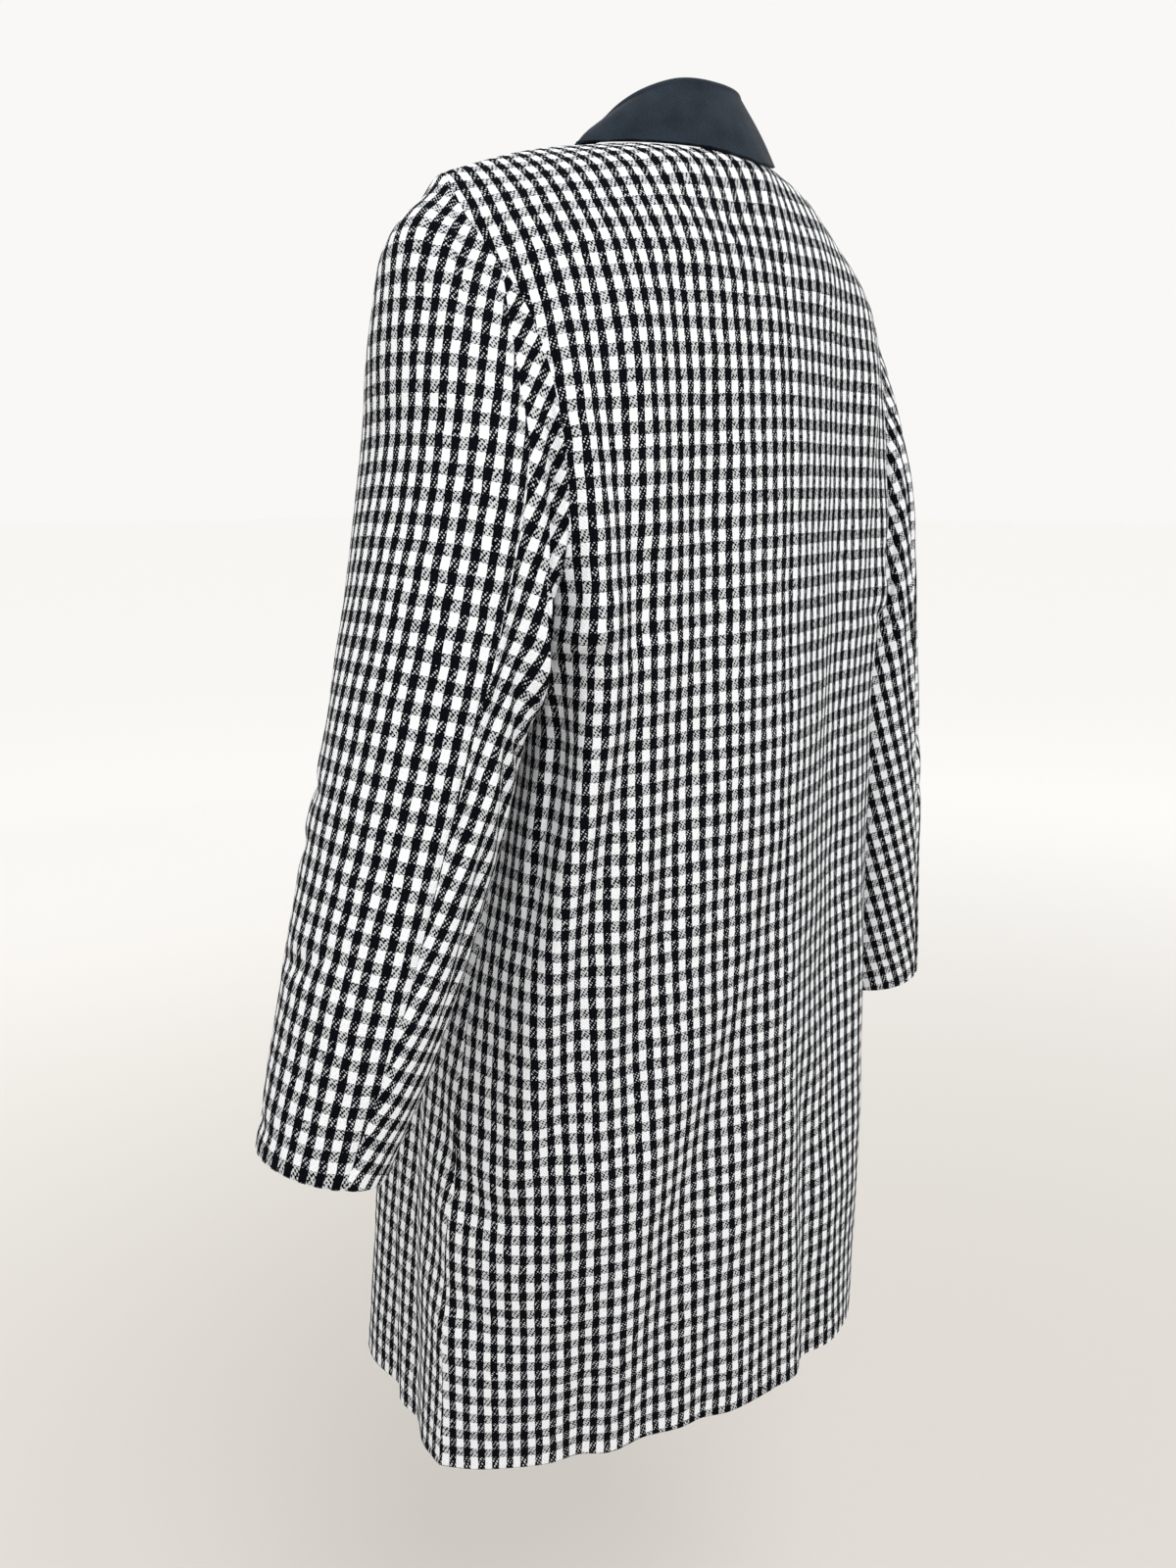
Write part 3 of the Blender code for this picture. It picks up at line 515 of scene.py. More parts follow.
# lays a panel flat and returns where each of its points falls on the cut cloth, with the warp down it
def flatLayout(panel, centreColumn, turn, straight=False):
    keepRows, keepColumns = [thinned(size) for size in panel.shape[:2]]
    coarse = panel[keepRows][:, keepColumns]
    layout = gridObject("layout", coarse)
    mesh = layout.data
    editWhole()
    bpy.ops.uv.unwrap(method="MINIMUM_STRETCH", margin=0.0, iterations=20, fill_holes=False)
    bpy.ops.object.mode_set(mode="OBJECT")
    flat = np.empty((len(mesh.vertices), 2))
    flat[readAll(mesh.loops, "vertex_index", 1, int)] = readAll(mesh.uv_layers.active.data, "uv", 2)
    flat = flat[mesh["order"]].reshape(coarse.shape[0], coarse.shape[1], 2)
    bpy.data.objects.remove(layout, do_unlink=True)
    lengths = [np.linalg.norm(np.diff(grid, axis=0), axis=2).sum() for grid in (coarse, flat)]
    flat *= lengths[0] / lengths[1]
    middle = int(np.abs(keepColumns - centreColumn).argmin())
    line = flat[-1, middle] - flat[len(flat) // 4, middle]
    angle = math.atan2(line[1], line[0]) + math.pi / 2 - math.radians(turn)
    cosine, sine = math.cos(-angle), math.sin(-angle)
    flat = flat @ np.array([[cosine, sine], [-sine, cosine]])
    flat -= flat[len(flat) // 4, middle]
    if flat[:, -1, 0].mean() < flat[:, 0, 0].mean():
        flat[:, :, 0] *= -1
    if straight:  # this edge was cut along the warp, so it is a straight line on the cloth
        down = lengthsAlong(coarse[:, middle])
        target = np.stack([np.zeros(len(down)), down[len(flat) // 4] - down], axis=1)
        flat += (target - flat[:, middle])[:, None]
    # back up to every point of the panel, columns first and then rows
    for kept, size in ((keepColumns, panel.shape[1]), (keepRows, len(panel))):
        flat = flat.transpose(1, 0, 2)
        flat = smoothCurve(flat.reshape(len(kept), -1), kept, np.arange(size)).reshape(size, -1, 2)
    return flat


# seen from outside, the cut cloth isn't mirrored, so its weave leans one way on all the pieces
def faceOut(layout, panel, out):
    step, fall = np.gradient(panel, axis=1), np.gradient(panel, axis=0)
    turned = (np.cross(step, fall) * out).sum(axis=2)
    wide, down = np.gradient(layout, axis=1), np.gradient(layout, axis=0)
    laid = wide[..., 0] * down[..., 1] - wide[..., 1] * down[..., 0]
    return layout * (np.sign((turned * laid).sum()), 1)


def editWhole():
    bpy.ops.object.mode_set(mode="EDIT")
    bpy.ops.mesh.select_all(action="SELECT")


def readAll(items, what, width, kind=float):  # one row of values for each item
    values = np.empty(len(items) * width, kind)
    items.foreach_get(what, values)
    return values.reshape(-1, width) if width > 1 else values


def gridObject(name, panel):  # a grid primitive whose points are put where the panel says
    rows, columns = panel.shape[:2]
    bpy.ops.object.select_all(action="DESELECT")
    bpy.ops.mesh.primitive_grid_add(x_subdivisions=columns - 1, y_subdivisions=rows - 1, size=2)
    made = bpy.context.object
    made.name = made.data.name = name
    flat = readAll(made.data.vertices, "co", 3)
    column = np.rint((flat[:, 0] + 1) / 2 * (columns - 1)).astype(int)
    row = np.rint((1 - flat[:, 1]) / 2 * (rows - 1)).astype(int)
    made.data.vertices.foreach_set("co", panel[row, column].ravel())
    order = np.empty(rows * columns, int)
    order[row * columns + column] = np.arange(len(flat))
    made.data["order"] = order.tolist()
    made.data.update()
    return made


def clothObject(name, panel, out, layout, material, thickness):
    made = gridObject(name, panel)
    mesh = made.data
    order = np.array(mesh["order"])
    del mesh["order"]
    flat = np.empty((len(order), 2))
    flat[order] = layout.reshape(-1, 2)
    mesh.uv_layers.active.name = "cut"
    corner = readAll(mesh.loops, "vertex_index", 1, int)
    mesh.uv_layers.active.data.foreach_set("uv", flat[corner].ravel())
    facing = readAll(mesh.vertices, "normal", 3)
    wanted = np.empty((len(order), 3))
    wanted[order] = out.reshape(-1, 3)
    editWhole()
    if (facing * wanted).sum() < 0:
        bpy.ops.mesh.flip_normals()
    bpy.ops.object.mode_set(mode="OBJECT")
    mesh.materials.clear()
    mesh.materials.append(material)
    wall = made.modifiers.new("wall", "SOLIDIFY")
    wall.thickness, wall.offset, wall.use_even_offset = thickness, -1.0, False
    bpy.ops.object.modifier_apply(modifier=wall.name)
    bpy.ops.object.shade_smooth_by_angle(angle=math.radians(50))
    return made


def hexColour(code):
    parts = [int(code[place:place + 2], 16) / 255 for place in (1, 3, 5)]
    return (*[part / 12.92 if part <= 0.04045 else ((part + 0.055) / 1.055) ** 2.4 for part in parts], 1.0)


def fillSockets(tree, node, inputs):  # an output is linked, and a value or colour is set
    for name, value in inputs.items():
        if isinstance(value, bpy.types.NodeSocket):
            tree.links.new(value, node.inputs[name])
        else:
            node.inputs[name].default_value = hexColour(value) if isinstance(value, str) else value


def addNode(tree, kind, inputs=None, **settings):  # one node, and its outputs to link on from
    node = tree.nodes.new("ShaderNode" + kind)
    for name, value in settings.items():
        setattr(node, name, value)
    fillSockets(tree, node, inputs or {})
    return node.outputs


def newMaterial(name):
    material = bpy.data.materials.new(name)
    material.use_nodes = True
    tree = material.node_tree
    return material, tree, tree.nodes["Principled BSDF"]


# Checked wool, woven: two plain yarns, ivory and blue-black. Where both directions agree the block is
# solid, and elsewhere each yarn shows between the floats of the other as leaning dots. The real dots are
# 1.2 to 1.7 mm apart: they are drawn 2.6 mm apart across and 3 mm down, four and five to a repeat, so
# that they still show. A and B are the two ends that a colour runs between.
checkLook = {
    "ivory": {"A": "#d9dbdf", "B": "#f0f1f3"}, "black": {"A": "#010204", "B": "#090c14"},
    "dotAcross": cloth["across"] / 4, "dotDown": cloth["down"] / 5, "slant": -0.35,
    # in a mixed block each yarn keeps only this share of its colour, and the rest is taken away as painted
    # shade between the floats
    "warpInMixed": 0.66, "weftInMixed": 0.65,  # how light each yarn stays where it shares a block
    "lessOnDark": -0.38, "crossing": {"From Min": 0.24, "From Max": 0.06},
    "wander": 0.0016, "wanderNoise": {"Scale": 70.0, "Detail": 1.0},
    "unevenNoise": {"Scale": 380.0, "Detail": 1.0},
    "unevenDots": {"From Min": 0.25, "From Max": 0.75, "To Min": -0.55, "To Max": 0.55},
    "slubNoise": {"Scale": 900.0, "Detail": 2.0, "Roughness": 0.7},
    "slubs": {"From Min": 0.3, "From Max": 0.7},
    "bump": {"Strength": 0.45, "Distance": 0.0003},
    "surface": {"Roughness": 0.95, "Specular IOR Level": 0.05},
}


def checkedCloth(name):
    material, tree, shader = newMaterial(name)
    spot = addNode(tree, "UVMap", uv_map="cut")["UV"]
    noise = {"Vector": spot, **checkLook["wanderNoise"]}
    wander = addNode(tree, "TexNoise", noise, noise_dimensions="2D")["Color"]
    wander = addNode(tree, "VectorMath", {0: wander, 1: (0.5, 0.5, 0.5)}, operation="SUBTRACT")[0]
    wander = addNode(tree, "VectorMath", {0: wander, "Scale": checkLook["wander"]}, operation="SCALE")[0]
    placed = addNode(tree, "VectorMath", {0: spot, 1: wander}, operation="ADD")[0]
    parts = addNode(tree, "SeparateXYZ", {"Vector": placed})
    dark = []
    for part, repeat in (("X", cloth["across"]), ("Y", cloth["down"])):
        turns = addNode(tree, "Math", {0: parts[part], 1: 1 / repeat}, operation="MULTIPLY")[0]
        share = addNode(tree, "Math", {0: turns}, operation="FRACT")[0]
        dark.append(addNode(tree, "Math", {0: share, 1: 0.5}, operation="LESS_THAN")[0])
    # the weave: warp and weft take turns on top, warp a little more often
    waves = []
    slant = {0: parts["Y"], 1: -checkLook["slant"], 2: parts["X"]}
    slanted = addNode(tree, "Math", slant, operation="MULTIPLY_ADD")[0]
    for part, size in ((slanted, checkLook["dotAcross"]), (parts["Y"], checkLook["dotDown"])):
        angle = addNode(tree, "Math", {0: part, 1: 2 * math.pi / size}, operation="MULTIPLY")[0]
        waves.append(addNode(tree, "Math", {0: angle}, operation="COSINE")[0])
    weave = addNode(tree, "Math", {0: waves[0], 1: waves[1]}, operation="MULTIPLY")[0]
    less = {0: dark[0], 1: checkLook["lessOnDark"], 2: weave}
    floated = addNode(tree, "Math", less, operation="MULTIPLY_ADD")[0]
    # the yarns cover each other unevenly, so the dots are not all one size
    noise = {"Vector": spot, **checkLook["unevenNoise"]}
    uneven = addNode(tree, "TexNoise", noise, noise_dimensions="2D")["Fac"]
    uneven = addNode(tree, "MapRange", {"Value": uneven, **checkLook["unevenDots"]})["Result"]
    floated = addNode(tree, "Math", {0: floated, 1: uneven}, operation="ADD")[0]
    warpOnTop = addNode(tree, "MapRange", {"Value": floated, **checkLook["crossing"]})["Result"]
    shown = {"Factor": warpOnTop, "A": dark[1], "B": dark[0]}
    darkShown = addNode(tree, "Mix", shown, data_type="FLOAT")[0]
    # yarn by yarn, some are a shade lighter or darker
    noise = {"Vector": spot, **checkLook["slubNoise"]}
    slub = addNode(tree, "TexNoise", noise, noise_dimensions="2D")["Fac"]
    slub = addNode(tree, "MapRange", {"Value": slub, **checkLook["slubs"]})["Result"]
    ivory = addNode(tree, "Mix", {"Factor": slub, **checkLook["ivory"]}, data_type="RGBA")[2]
    black = addNode(tree, "Mix", {"Factor": slub, **checkLook["black"]}, data_type="RGBA")[2]
    colour = addNode(tree, "Mix", {"Factor": darkShown, "A": ivory, "B": black}, data_type="RGBA")[2]
    # painted shade: between the floats of a mixed block the yarns sink and shade each other, so the colour
    # there is darkened
    differ = addNode(tree, "Math", {0: dark[0], 1: dark[1]}, operation="SUBTRACT")[0]
    differ = addNode(tree, "Math", {0: differ}, operation="ABSOLUTE")[0]
    weftShadeLoss = 1 - checkLook["weftInMixed"]
    sunk = {0: warpOnTop, 1: 1 - checkLook["warpInMixed"] - weftShadeLoss, 2: weftShadeLoss}
    paintedShadeDepth = addNode(tree, "Math", sunk, operation="MULTIPLY_ADD")[0]
    keep = addNode(tree, "Math", {0: differ, 1: paintedShadeDepth}, operation="MULTIPLY")[0]
    keep = addNode(tree, "Math", {0: 1.0, 1: keep}, operation="SUBTRACT")[0]
    colour = addNode(tree, "VectorMath", {0: colour, "Scale": keep}, operation="SCALE")[0]
    relief = addNode(tree, "Math", {0: weave, 1: slub}, operation="ADD")[0]
    bump = addNode(tree, "Bump", {"Height": relief, **checkLook["bump"]})[0]
    fillSockets(tree, shader, {"Base Color": colour, "Normal": bump, **checkLook["surface"]})
    return material


# Blue-black wool twill, woven: fine diagonal ribs, 1.6 mm apart, painted a soft lighter grey along them as
# painted highlight and darker between them as painted shade
collarLook = {
    "colours": {"A": "#0a1017", "B": "#2a3540"}, "toneAndRibHighlight": {"From Min": 0.40, "From Max": 1.15},
    "rib": 0.0016, "ribHighlightShare": 0.22, "cloudShare": 0.5,
    "fuzzNoise": {"Scale": 1100.0, "Detail": 3.0, "Roughness": 0.75},
    "cloudNoise": {"Scale": 60.0, "Detail": 2.0},
    "bump": {"Strength": 0.5, "Distance": 0.0003},
    "surface": {
        "Roughness": 0.85, "Specular IOR Level": 0.15, "Sheen Weight": 0.06, "Sheen Roughness": 0.45,
    },
}


def twillCloth(name):
    material, tree, shader = newMaterial(name)
    spot = addNode(tree, "UVMap", uv_map="cut")["UV"]
    parts = addNode(tree, "SeparateXYZ", {"Vector": spot})
    slant = addNode(tree, "Math", {0: parts["X"], 1: parts["Y"]}, operation="ADD")[0]
    angle = addNode(tree, "Math", {0: slant, 1: 2 * math.pi / collarLook["rib"]}, operation="MULTIPLY")[0]
    rib = addNode(tree, "Math", {0: angle}, operation="SINE")[0]
    fuzz, cloud = [
        addNode(tree, "TexNoise", {"Vector": spot, **collarLook[noise]}, noise_dimensions="2D")["Fac"]
        for noise in ("fuzzNoise", "cloudNoise")
    ]
    # the ribs go into the colour as painted highlight and shade, and the fuzz and clouds as the yarn's own
    # uneven tone
    mixed = fuzz
    for part, weight in ((rib, "ribHighlightShare"), (cloud, "cloudShare")):
        weighed = {0: part, 1: collarLook[weight], 2: mixed}
        mixed = addNode(tree, "Math", weighed, operation="MULTIPLY_ADD")[0]
    share = addNode(tree, "MapRange", {"Value": mixed, **collarLook["toneAndRibHighlight"]})["Result"]
    colour = addNode(tree, "Mix", {"Factor": share, **collarLook["colours"]}, data_type="RGBA")[2]
    bump = addNode(tree, "Bump", {"Height": mixed, **collarLook["bump"]})[0]
    fillSockets(tree, shader, {"Base Color": colour, "Normal": bump, **collarLook["surface"]})
    return material


checked = checkedCloth("Checked wool, woven")
pieces, outside = {}, {}


def dressed(piece, node):  # what the piece rides on and stands for
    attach(piece, "root")
    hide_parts(node)
    print(node, "made,", len(piece.data.polygons), "faces")


# turns a sewn panel into a piece of checked cloth, with its hem or cuff turned up
def makeUp(name, panel, out, turning, centreColumn, grain=0.0, straight=False, phase=0.0):
    finished = turnedUp(panel, out, turning)
    outer = gridding["rollRows"] // 2
    inner = len(finished) - len(panel) - outer
    walls = np.concatenate([out, np.repeat(out[-1:], outer, axis=0), np.repeat(-out[-1:], inner, axis=0)])
    layout = faceOut(flatLayout(finished, centreColumn, grain, straight), finished, walls)
    layout[..., 0] += phase
    label = name.replace("_", "-") + "-cloth"
    pieces[name] = clothObject(label, finished, walls, layout, checked, cloth["thickness"])
    dressed(pieces[name], name)


# the four body panels
sewn = {"back": ("top", "first", "last"), "front": ("top", "last")}
back, front = bodyPanel(front=False), bodyPanel(front=True)
panels = {
    "back_left": swung(back),
    "back_right": swung(mirrored(back)),
    "front_left": swung(lappedFront(front, over=False)),
    "front_right": swung(mirrored(lappedFront(front, over=True))),
}
# the middle seam of the back runs down the middle of a dark stripe, and the lap's edge falls on a light one
phases = {"back": cloth["across"] / 4, "front": cloth["across"] / 2 - 0.001}
middles = {"back": 0, "front": gridding["lapSteps"]}
rowsAbove = 180 // gridding["armholeStep"]
for name, plain in panels.items():
    part = name.split("_")[0]
    out = bodyOut(plain)
    shift = creaseShift(bodyPlace(plain), plain[..., 2], bodyCreases) + unevenness(plain, cloth["waver"])
    held = easing(edgeDistance(plain, "last") / cloth["armholeHold"])
    letGo = easing(np.arange(len(plain) - rowsAbove) / cloth["holdRows"])
    held[rowsAbove:] = np.maximum(held[rowsAbove:], letGo[:, None])
    held *= easing(edgeDistance(plain, "top") / cloth["shoulderHold"])
    outside[name] = seamed(plain + out * (shift * held)[..., None], out, sewn[part])
    makeUp(name, outside[name], out, cloth["hemTurn"], middles[part], straight=True, phase=phases[part])

# the sleeves: each is shaped as one tube, then cut at its two seams
hindColumn = (sleeves["hindStart"] - sleeves["foreStart"]) // gridding["armholeStep"]
cuts = {"topsleeve": slice(0, hindColumn + 1), "undersleeve": slice(hindColumn, None)}
for hand, side, creases in (("left", 1, leftSleeveCreases), ("right", -1, rightSleeveCreases)):
    ring, across, down = sleeveRing(sleeves[hand], side)
    out = ringOut(ring)
    place = np.broadcast_to(across, ring.shape[:2])
    along = np.broadcast_to(down[:, None], ring.shape[:2])
    shift = creaseShift(place, along, creases) + unevenness(ring, cloth["waver"])
    shift = shift * easing(edgeDistance(ring, "top") / cloth["headHold"])
    ring = ring + out * shift[..., None]
    for kind, columns in cuts.items():
        panel = seamed(ring[:, columns], out[:, columns], ("top", "first", "last"))
        grain = sleeves["grain"][kind]
        makeUp(f"{kind}_{hand}", panel, out[:, columns], cloth["cuffTurn"], panel.shape[1] // 2, grain)

# the turn-down collar
collar = {
    "shape": [  # place round the neck (0 centre back, 180 centre front), fold in, fold z, edge out, edge z
        (0, 0.022, 0.0395, 0.010, -0.020), (45, 0.022, 0.0385, 0.000, 0.001),
        (90, 0.019, 0.022, 0.015, 0.004), (120, 0.019, 0.000, 0.020, -0.035),
        (150, 0.018, -0.036, 0.028, -0.085), (160, 0.016, -0.046, 0.030, -0.100),
    ],
    "rightHang": 0.006,  # on the wearer's right the fall hangs this much further out and down
    "ends": 157.5, "roll": 0.0040, "standOff": 0.0029, "belly": 0.002, "thickness": 0.0018, "clear": 0.0005,
    "hangAt": ((0, 25, 60, 110), (0, 1, 1, 0)),  # how much of that hang there is, round the neck
    "standOffMore": ((90, 120), (0, 0.002)),     # the stand is a little further in at the front
    "columns": 72, "standRows": 11, "foldRows": 17, "fallRows": 19, "neckPoints": 37,
}


def surfaceTree(grids):  # the outer faces of the panels, to measure against
    points, faces = [], []
    for grid in grids:
        rows, columns = grid.shape[:2]
        corner = len(points) + np.arange(rows * columns).reshape(rows, columns)
        points += grid.reshape(-1, 3).tolist()
        around = [corner[:-1, :-1], corner[1:, :-1], corner[1:, 1:], corner[:-1, 1:]]
        faces += np.stack(around, axis=-1).reshape(-1, 4).tolist()
    return BVHTree.FromPolygons(points, faces)


def laidOn(grid, tree):  # the fall's edge comes down to the cloth, and no part of the fall goes through it
    fall = grid[-collar["fallRows"]:]
    above = collar["thickness"] + collar["clear"]
    for column in range(fall.shape[1]):
        edge = fall[-1, column]
        foot = np.array(tree.find_nearest(Vector(edge))[0])
        drop = foot + above * bodyOut(foot) - edge
        share = np.linspace(0, 1, len(fall)) ** 1.5
        fall[:, column] += share[:, None] * drop
        for row in range(len(fall)):
            foot = np.array(tree.find_nearest(Vector(fall[row, column]))[0])
            out = bodyOut(foot)
            short = above - (fall[row, column] - foot) @ out
            if short > 0:
                fall[row, column] += short * out
    return grid


def collarHalf(hang):
    table = np.array(collar["shape"], float)
    half = np.linspace(0, collar["ends"], collar["columns"])
    quarter = np.linspace(0, 90, collar["neckPoints"])
    neck = np.concatenate([neckLine(False, quarter), neckLine(True, quarter[::-1])[1:]])
    around = np.linspace(0, 180, len(neck))
    lines = []
    for turn, (foldIn, foldZ, edgeOut, edgeZ) in zip(half, smoothCurve(table[:, 1:], table[:, 0], half)):
        point = np.array([np.interp(turn, around, neck[:, axis]) for axis in range(3)])
        more = hang * np.interp(turn, *collar["hangAt"])
        edgeOut, edgeZ = edgeOut + more, edgeZ - more
        out = (point - neckAxis) * (1, 1, 0)
        out /= np.linalg.norm(out)
        low = foldZ - collar["roll"]
        standIn = collar["standOff"] + np.interp(turn, *collar["standOffMore"])
        line = [  # up the stand, round the fold and down the fall
            (-standIn - (foldIn - standIn) * share, point[2] + (low - point[2]) * share)
            for share in np.linspace(0, 1, collar["standRows"] + 1)[:-1]
        ]
        line += [
            (-foldIn + collar["roll"] * (1 - math.cos(bend)), low + collar["roll"] * math.sin(bend))
            for bend in np.linspace(0, math.pi, collar["foldRows"])
        ]
        outer = -foldIn + 2 * collar["roll"]
        line += [
            (
                outer + (edgeOut - outer) * share + collar["belly"] * math.sin(math.pi * share),
                low + (edgeZ - low) * share,
            )
            for share in np.linspace(0, 1, collar["fallRows"] + 1)[1:]
        ]
        offset, height = np.array(line).T
        placed = point + offset[:, None] * out
        placed[:, 2] = height
        lines.append(placed)
    return np.array(lines)


twill = twillCloth("Blue-black twill, woven")
halves = [mirrored(collarHalf(collar["rightHang"])[:0:-1]), collarHalf(0.0)]
grid = laidOn(np.concatenate(halves).transpose(1, 0, 2), surfaceTree(outside.values()))
out = np.cross(np.gradient(grid, axis=1), np.gradient(grid, axis=0))
out /= np.linalg.norm(out, axis=2, keepdims=True)
fall = out[-1, grid.shape[1] // 2]
out *= np.sign(fall[1])
layout = flatLayout(grid, grid.shape[1] // 2, 0.0)
pieces["collar"] = clothObject("collar-cloth", grid, out, layout, twill, collar["thickness"])
dressed(pieces["collar"], "collar")

# the four buttons: dished, with four holes, sewn on with dark thread
button = {
    "radius": 0.0125, "thickness": 0.004, "rim": 0.0024, "dish": 0.0008, "edge": 0.0007,
    "slope": (0.0010, 0.0014), "hole": 0.0010, "spread": 0.0021, "thread": 0.00038, "sink": 0.0056,
    "threadPast": 0.0008, "threadCross": 0.0004,  # how far a strand goes past its holes, and over another
}
buttonLook = {
    "colours": {"A": "#06070a", "B": "#14161c"}, "clouds": {"From Min": 0.4, "From Max": 0.7},
    "cloudNoise": {"Scale": 160.0, "Detail": 3.0, "Distortion": 1.5},
    "scratchNoise": {"Scale": 1400.0, "Detail": 2.0}, "roughness": {"To Min": 0.38, "To Max": 0.52},
    "surface": {"IOR": 1.55, "Specular IOR Level": 0.35},
}
threadLook = {
    "colours": {"A": "#08090d", "B": "#1c2029"}, "plies": {"Scale": 420.0, "Distortion": 1.0},
    "bump": {"Strength": 0.6, "Distance": 0.0001}, "surface": {"Roughness": 0.7},
}
buttonNodes = sorted(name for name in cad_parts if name.startswith("button_"))


def dullPolyester(name):
    # Polyester, cast in rods and turned: an even blue-black with a soft gloss and faint cloudy streaks
    material, tree, shader = newMaterial(name)
    spot = addNode(tree, "TexCoord")["Object"]
    cloud = addNode(tree, "TexNoise", {"Vector": spot, **buttonLook["cloudNoise"]})["Fac"]
    share = addNode(tree, "MapRange", {"Value": cloud, **buttonLook["clouds"]})["Result"]
    colour = addNode(tree, "Mix", {"Factor": share, **buttonLook["colours"]}, data_type="RGBA")[2]
    scratch = addNode(tree, "TexNoise", {"Vector": spot, **buttonLook["scratchNoise"]})["Fac"]
    rough = addNode(tree, "MapRange", {"Value": scratch, **buttonLook["roughness"]})["Result"]
    fillSockets(tree, shader, {"Base Color": colour, "Roughness": rough, **buttonLook["surface"]})
    return material


def darkThread(name):
    # Polyester sewing thread, twisted: two plies that show as fine slanting ribs, with painted shade that
    # darkens the grooves between them
    material, tree, shader = newMaterial(name)
    spot = addNode(tree, "TexCoord")["Object"]
    plies = {"Vector": spot, **threadLook["plies"]}
    ply = addNode(tree, "TexWave", plies, bands_direction="DIAGONAL")["Fac"]
    # painted shade: the colour follows the ribs, darker in the grooves between the plies
    colour = addNode(tree, "Mix", {"Factor": ply, **threadLook["colours"]}, data_type="RGBA")[2]
    bump = addNode(tree, "Bump", {"Height": ply, **threadLook["bump"]})[0]
    fillSockets(tree, shader, {"Base Color": colour, "Normal": bump, **threadLook["surface"]})
    return material


def facesWhere(mesh, test):  # in edit mode only what passes the test is selected
    bpy.ops.object.mode_set(mode="EDIT")
    bpy.ops.mesh.select_mode(type="FACE")
    bpy.ops.mesh.select_all(action="DESELECT")
    bpy.ops.object.mode_set(mode="OBJECT")
    for face in mesh.polygons:
        face.select = test(face)
    bpy.ops.object.mode_set(mode="EDIT")


def buttonDisc():  # made flat at the origin, facing up
    bpy.ops.object.select_all(action="DESELECT")
    bpy.ops.mesh.primitive_cylinder_add(vertices=64, radius=button["radius"], depth=button["thickness"])
    disc = bpy.context.object
    facesWhere(disc.data, lambda face: abs(face.normal.z) > 0.9)
    bpy.ops.mesh.bevel(offset=button["edge"], segments=4, affect="EDGES")
    facesWhere(disc.data, lambda face: face.normal.z > 0.9 and face.area > 0.0001)
    bpy.ops.mesh.inset(thickness=button["rim"])
    for slope, share in zip(button["slope"], (0.6, 0.4)):
        bpy.ops.mesh.inset(thickness=slope)
        bpy.ops.transform.translate(value=(0, 0, -share * button["dish"]))
    bpy.ops.object.mode_set(mode="OBJECT")
    for turn in range(4):
        angle = math.pi / 4 + turn * math.pi / 2
        place = (button["spread"] * math.cos(angle), button["spread"] * math.sin(angle), 0)
        bpy.ops.mesh.primitive_cylinder_add(
            vertices=24, radius=button["hole"], depth=2 * button["thickness"], location=place,
        )
        drill = bpy.context.object
        hole = disc.modifiers.new("hole", "BOOLEAN")
        hole.operation, hole.solver, hole.object = "DIFFERENCE", "EXACT", drill
        bpy.context.view_layer.objects.active = disc
        bpy.ops.object.modifier_apply(modifier=hole.name)
        bpy.data.objects.remove(drill, do_unlink=True)
    bpy.ops.object.select_all(action="DESELECT")
    disc.select_set(True)
    bpy.context.view_layer.objects.active = disc
    bpy.ops.object.shade_smooth_by_angle(angle=math.radians(35))
    return disc


def buttonThread():  # two crossing pairs of strands, from hole to hole over the dish
    top = button["thickness"] / 2 - button["dish"] + button["thread"]
    strands = []
    for turn in (45, 135):
        for aside in (-1, 1):
            bpy.ops.object.select_all(action="DESELECT")
            length = 2 * button["spread"] + button["threadPast"]
            bpy.ops.mesh.primitive_cylinder_add(
                vertices=10, radius=button["thread"], depth=length, end_fill_type="TRIFAN",
            )
            strand = bpy.context.object
            editWhole()
            bpy.ops.mesh.subdivide(number_cuts=1)
            bpy.ops.object.mode_set(mode="OBJECT")
            height = top + (button["threadCross"] if turn == 45 else 0)
            strand.data.transform(Matrix.Rotation(math.pi / 2, 4, "Y"))
            strand.data.transform(Matrix.Translation((0, aside * button["thread"], height)))
            strand.data.transform(Matrix.Rotation(math.radians(turn), 4, "Z"))
            for vertex in strand.data.vertices:  # both ends go down into the holes
                away = math.hypot(vertex.co.x, vertex.co.y) / button["spread"]
                vertex.co.z -= button["sink"] * max(away - 0.6, 0) ** 2
            strands.append(strand)
    for strand in strands:
        strand.select_set(True)
    bpy.context.view_layer.objects.active = strands[0]
    bpy.ops.object.join()
    bpy.ops.object.shade_smooth_by_angle(angle=math.radians(60))
    return bpy.context.object


def buttonPlace(node):  # how the CAD button stands: its middle and the way it faces
    points = np.array([vertex.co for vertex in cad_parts[node].data.vertices])
    low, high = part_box(node)
    middle = (np.array(low) + np.array(high)) / 2
    facing = np.linalg.svd(points - points.mean(axis=0), full_matrices=False)[2][2]
    facing = Vector(facing if facing[1] < 0 else -facing)
    turn = facing.to_track_quat("Z", "Y").to_matrix().to_4x4()
    return Matrix.Translation(Vector(middle)) @ turn


polyester = dullPolyester("Blue-black polyester, turned")
thread = darkThread("Dark polyester thread, twisted")
models = {"button": (buttonDisc(), polyester), "thread": (buttonThread(), thread)}
for number, node in enumerate(buttonNodes, 1):
    for kind, (model, material) in models.items():
        made = bpy.data.objects.new(f"{kind}-{number}", model.data.copy())
        bpy.context.scene.collection.objects.link(made)
        made.data.transform(buttonPlace(node))
        made.data.materials.clear()
        made.data.materials.append(material)
        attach(made, "root")
        if kind == "button":
            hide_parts(node)
for model, material in models.values():
    bpy.data.objects.remove(model, do_unlink=True)
print("buttons made")

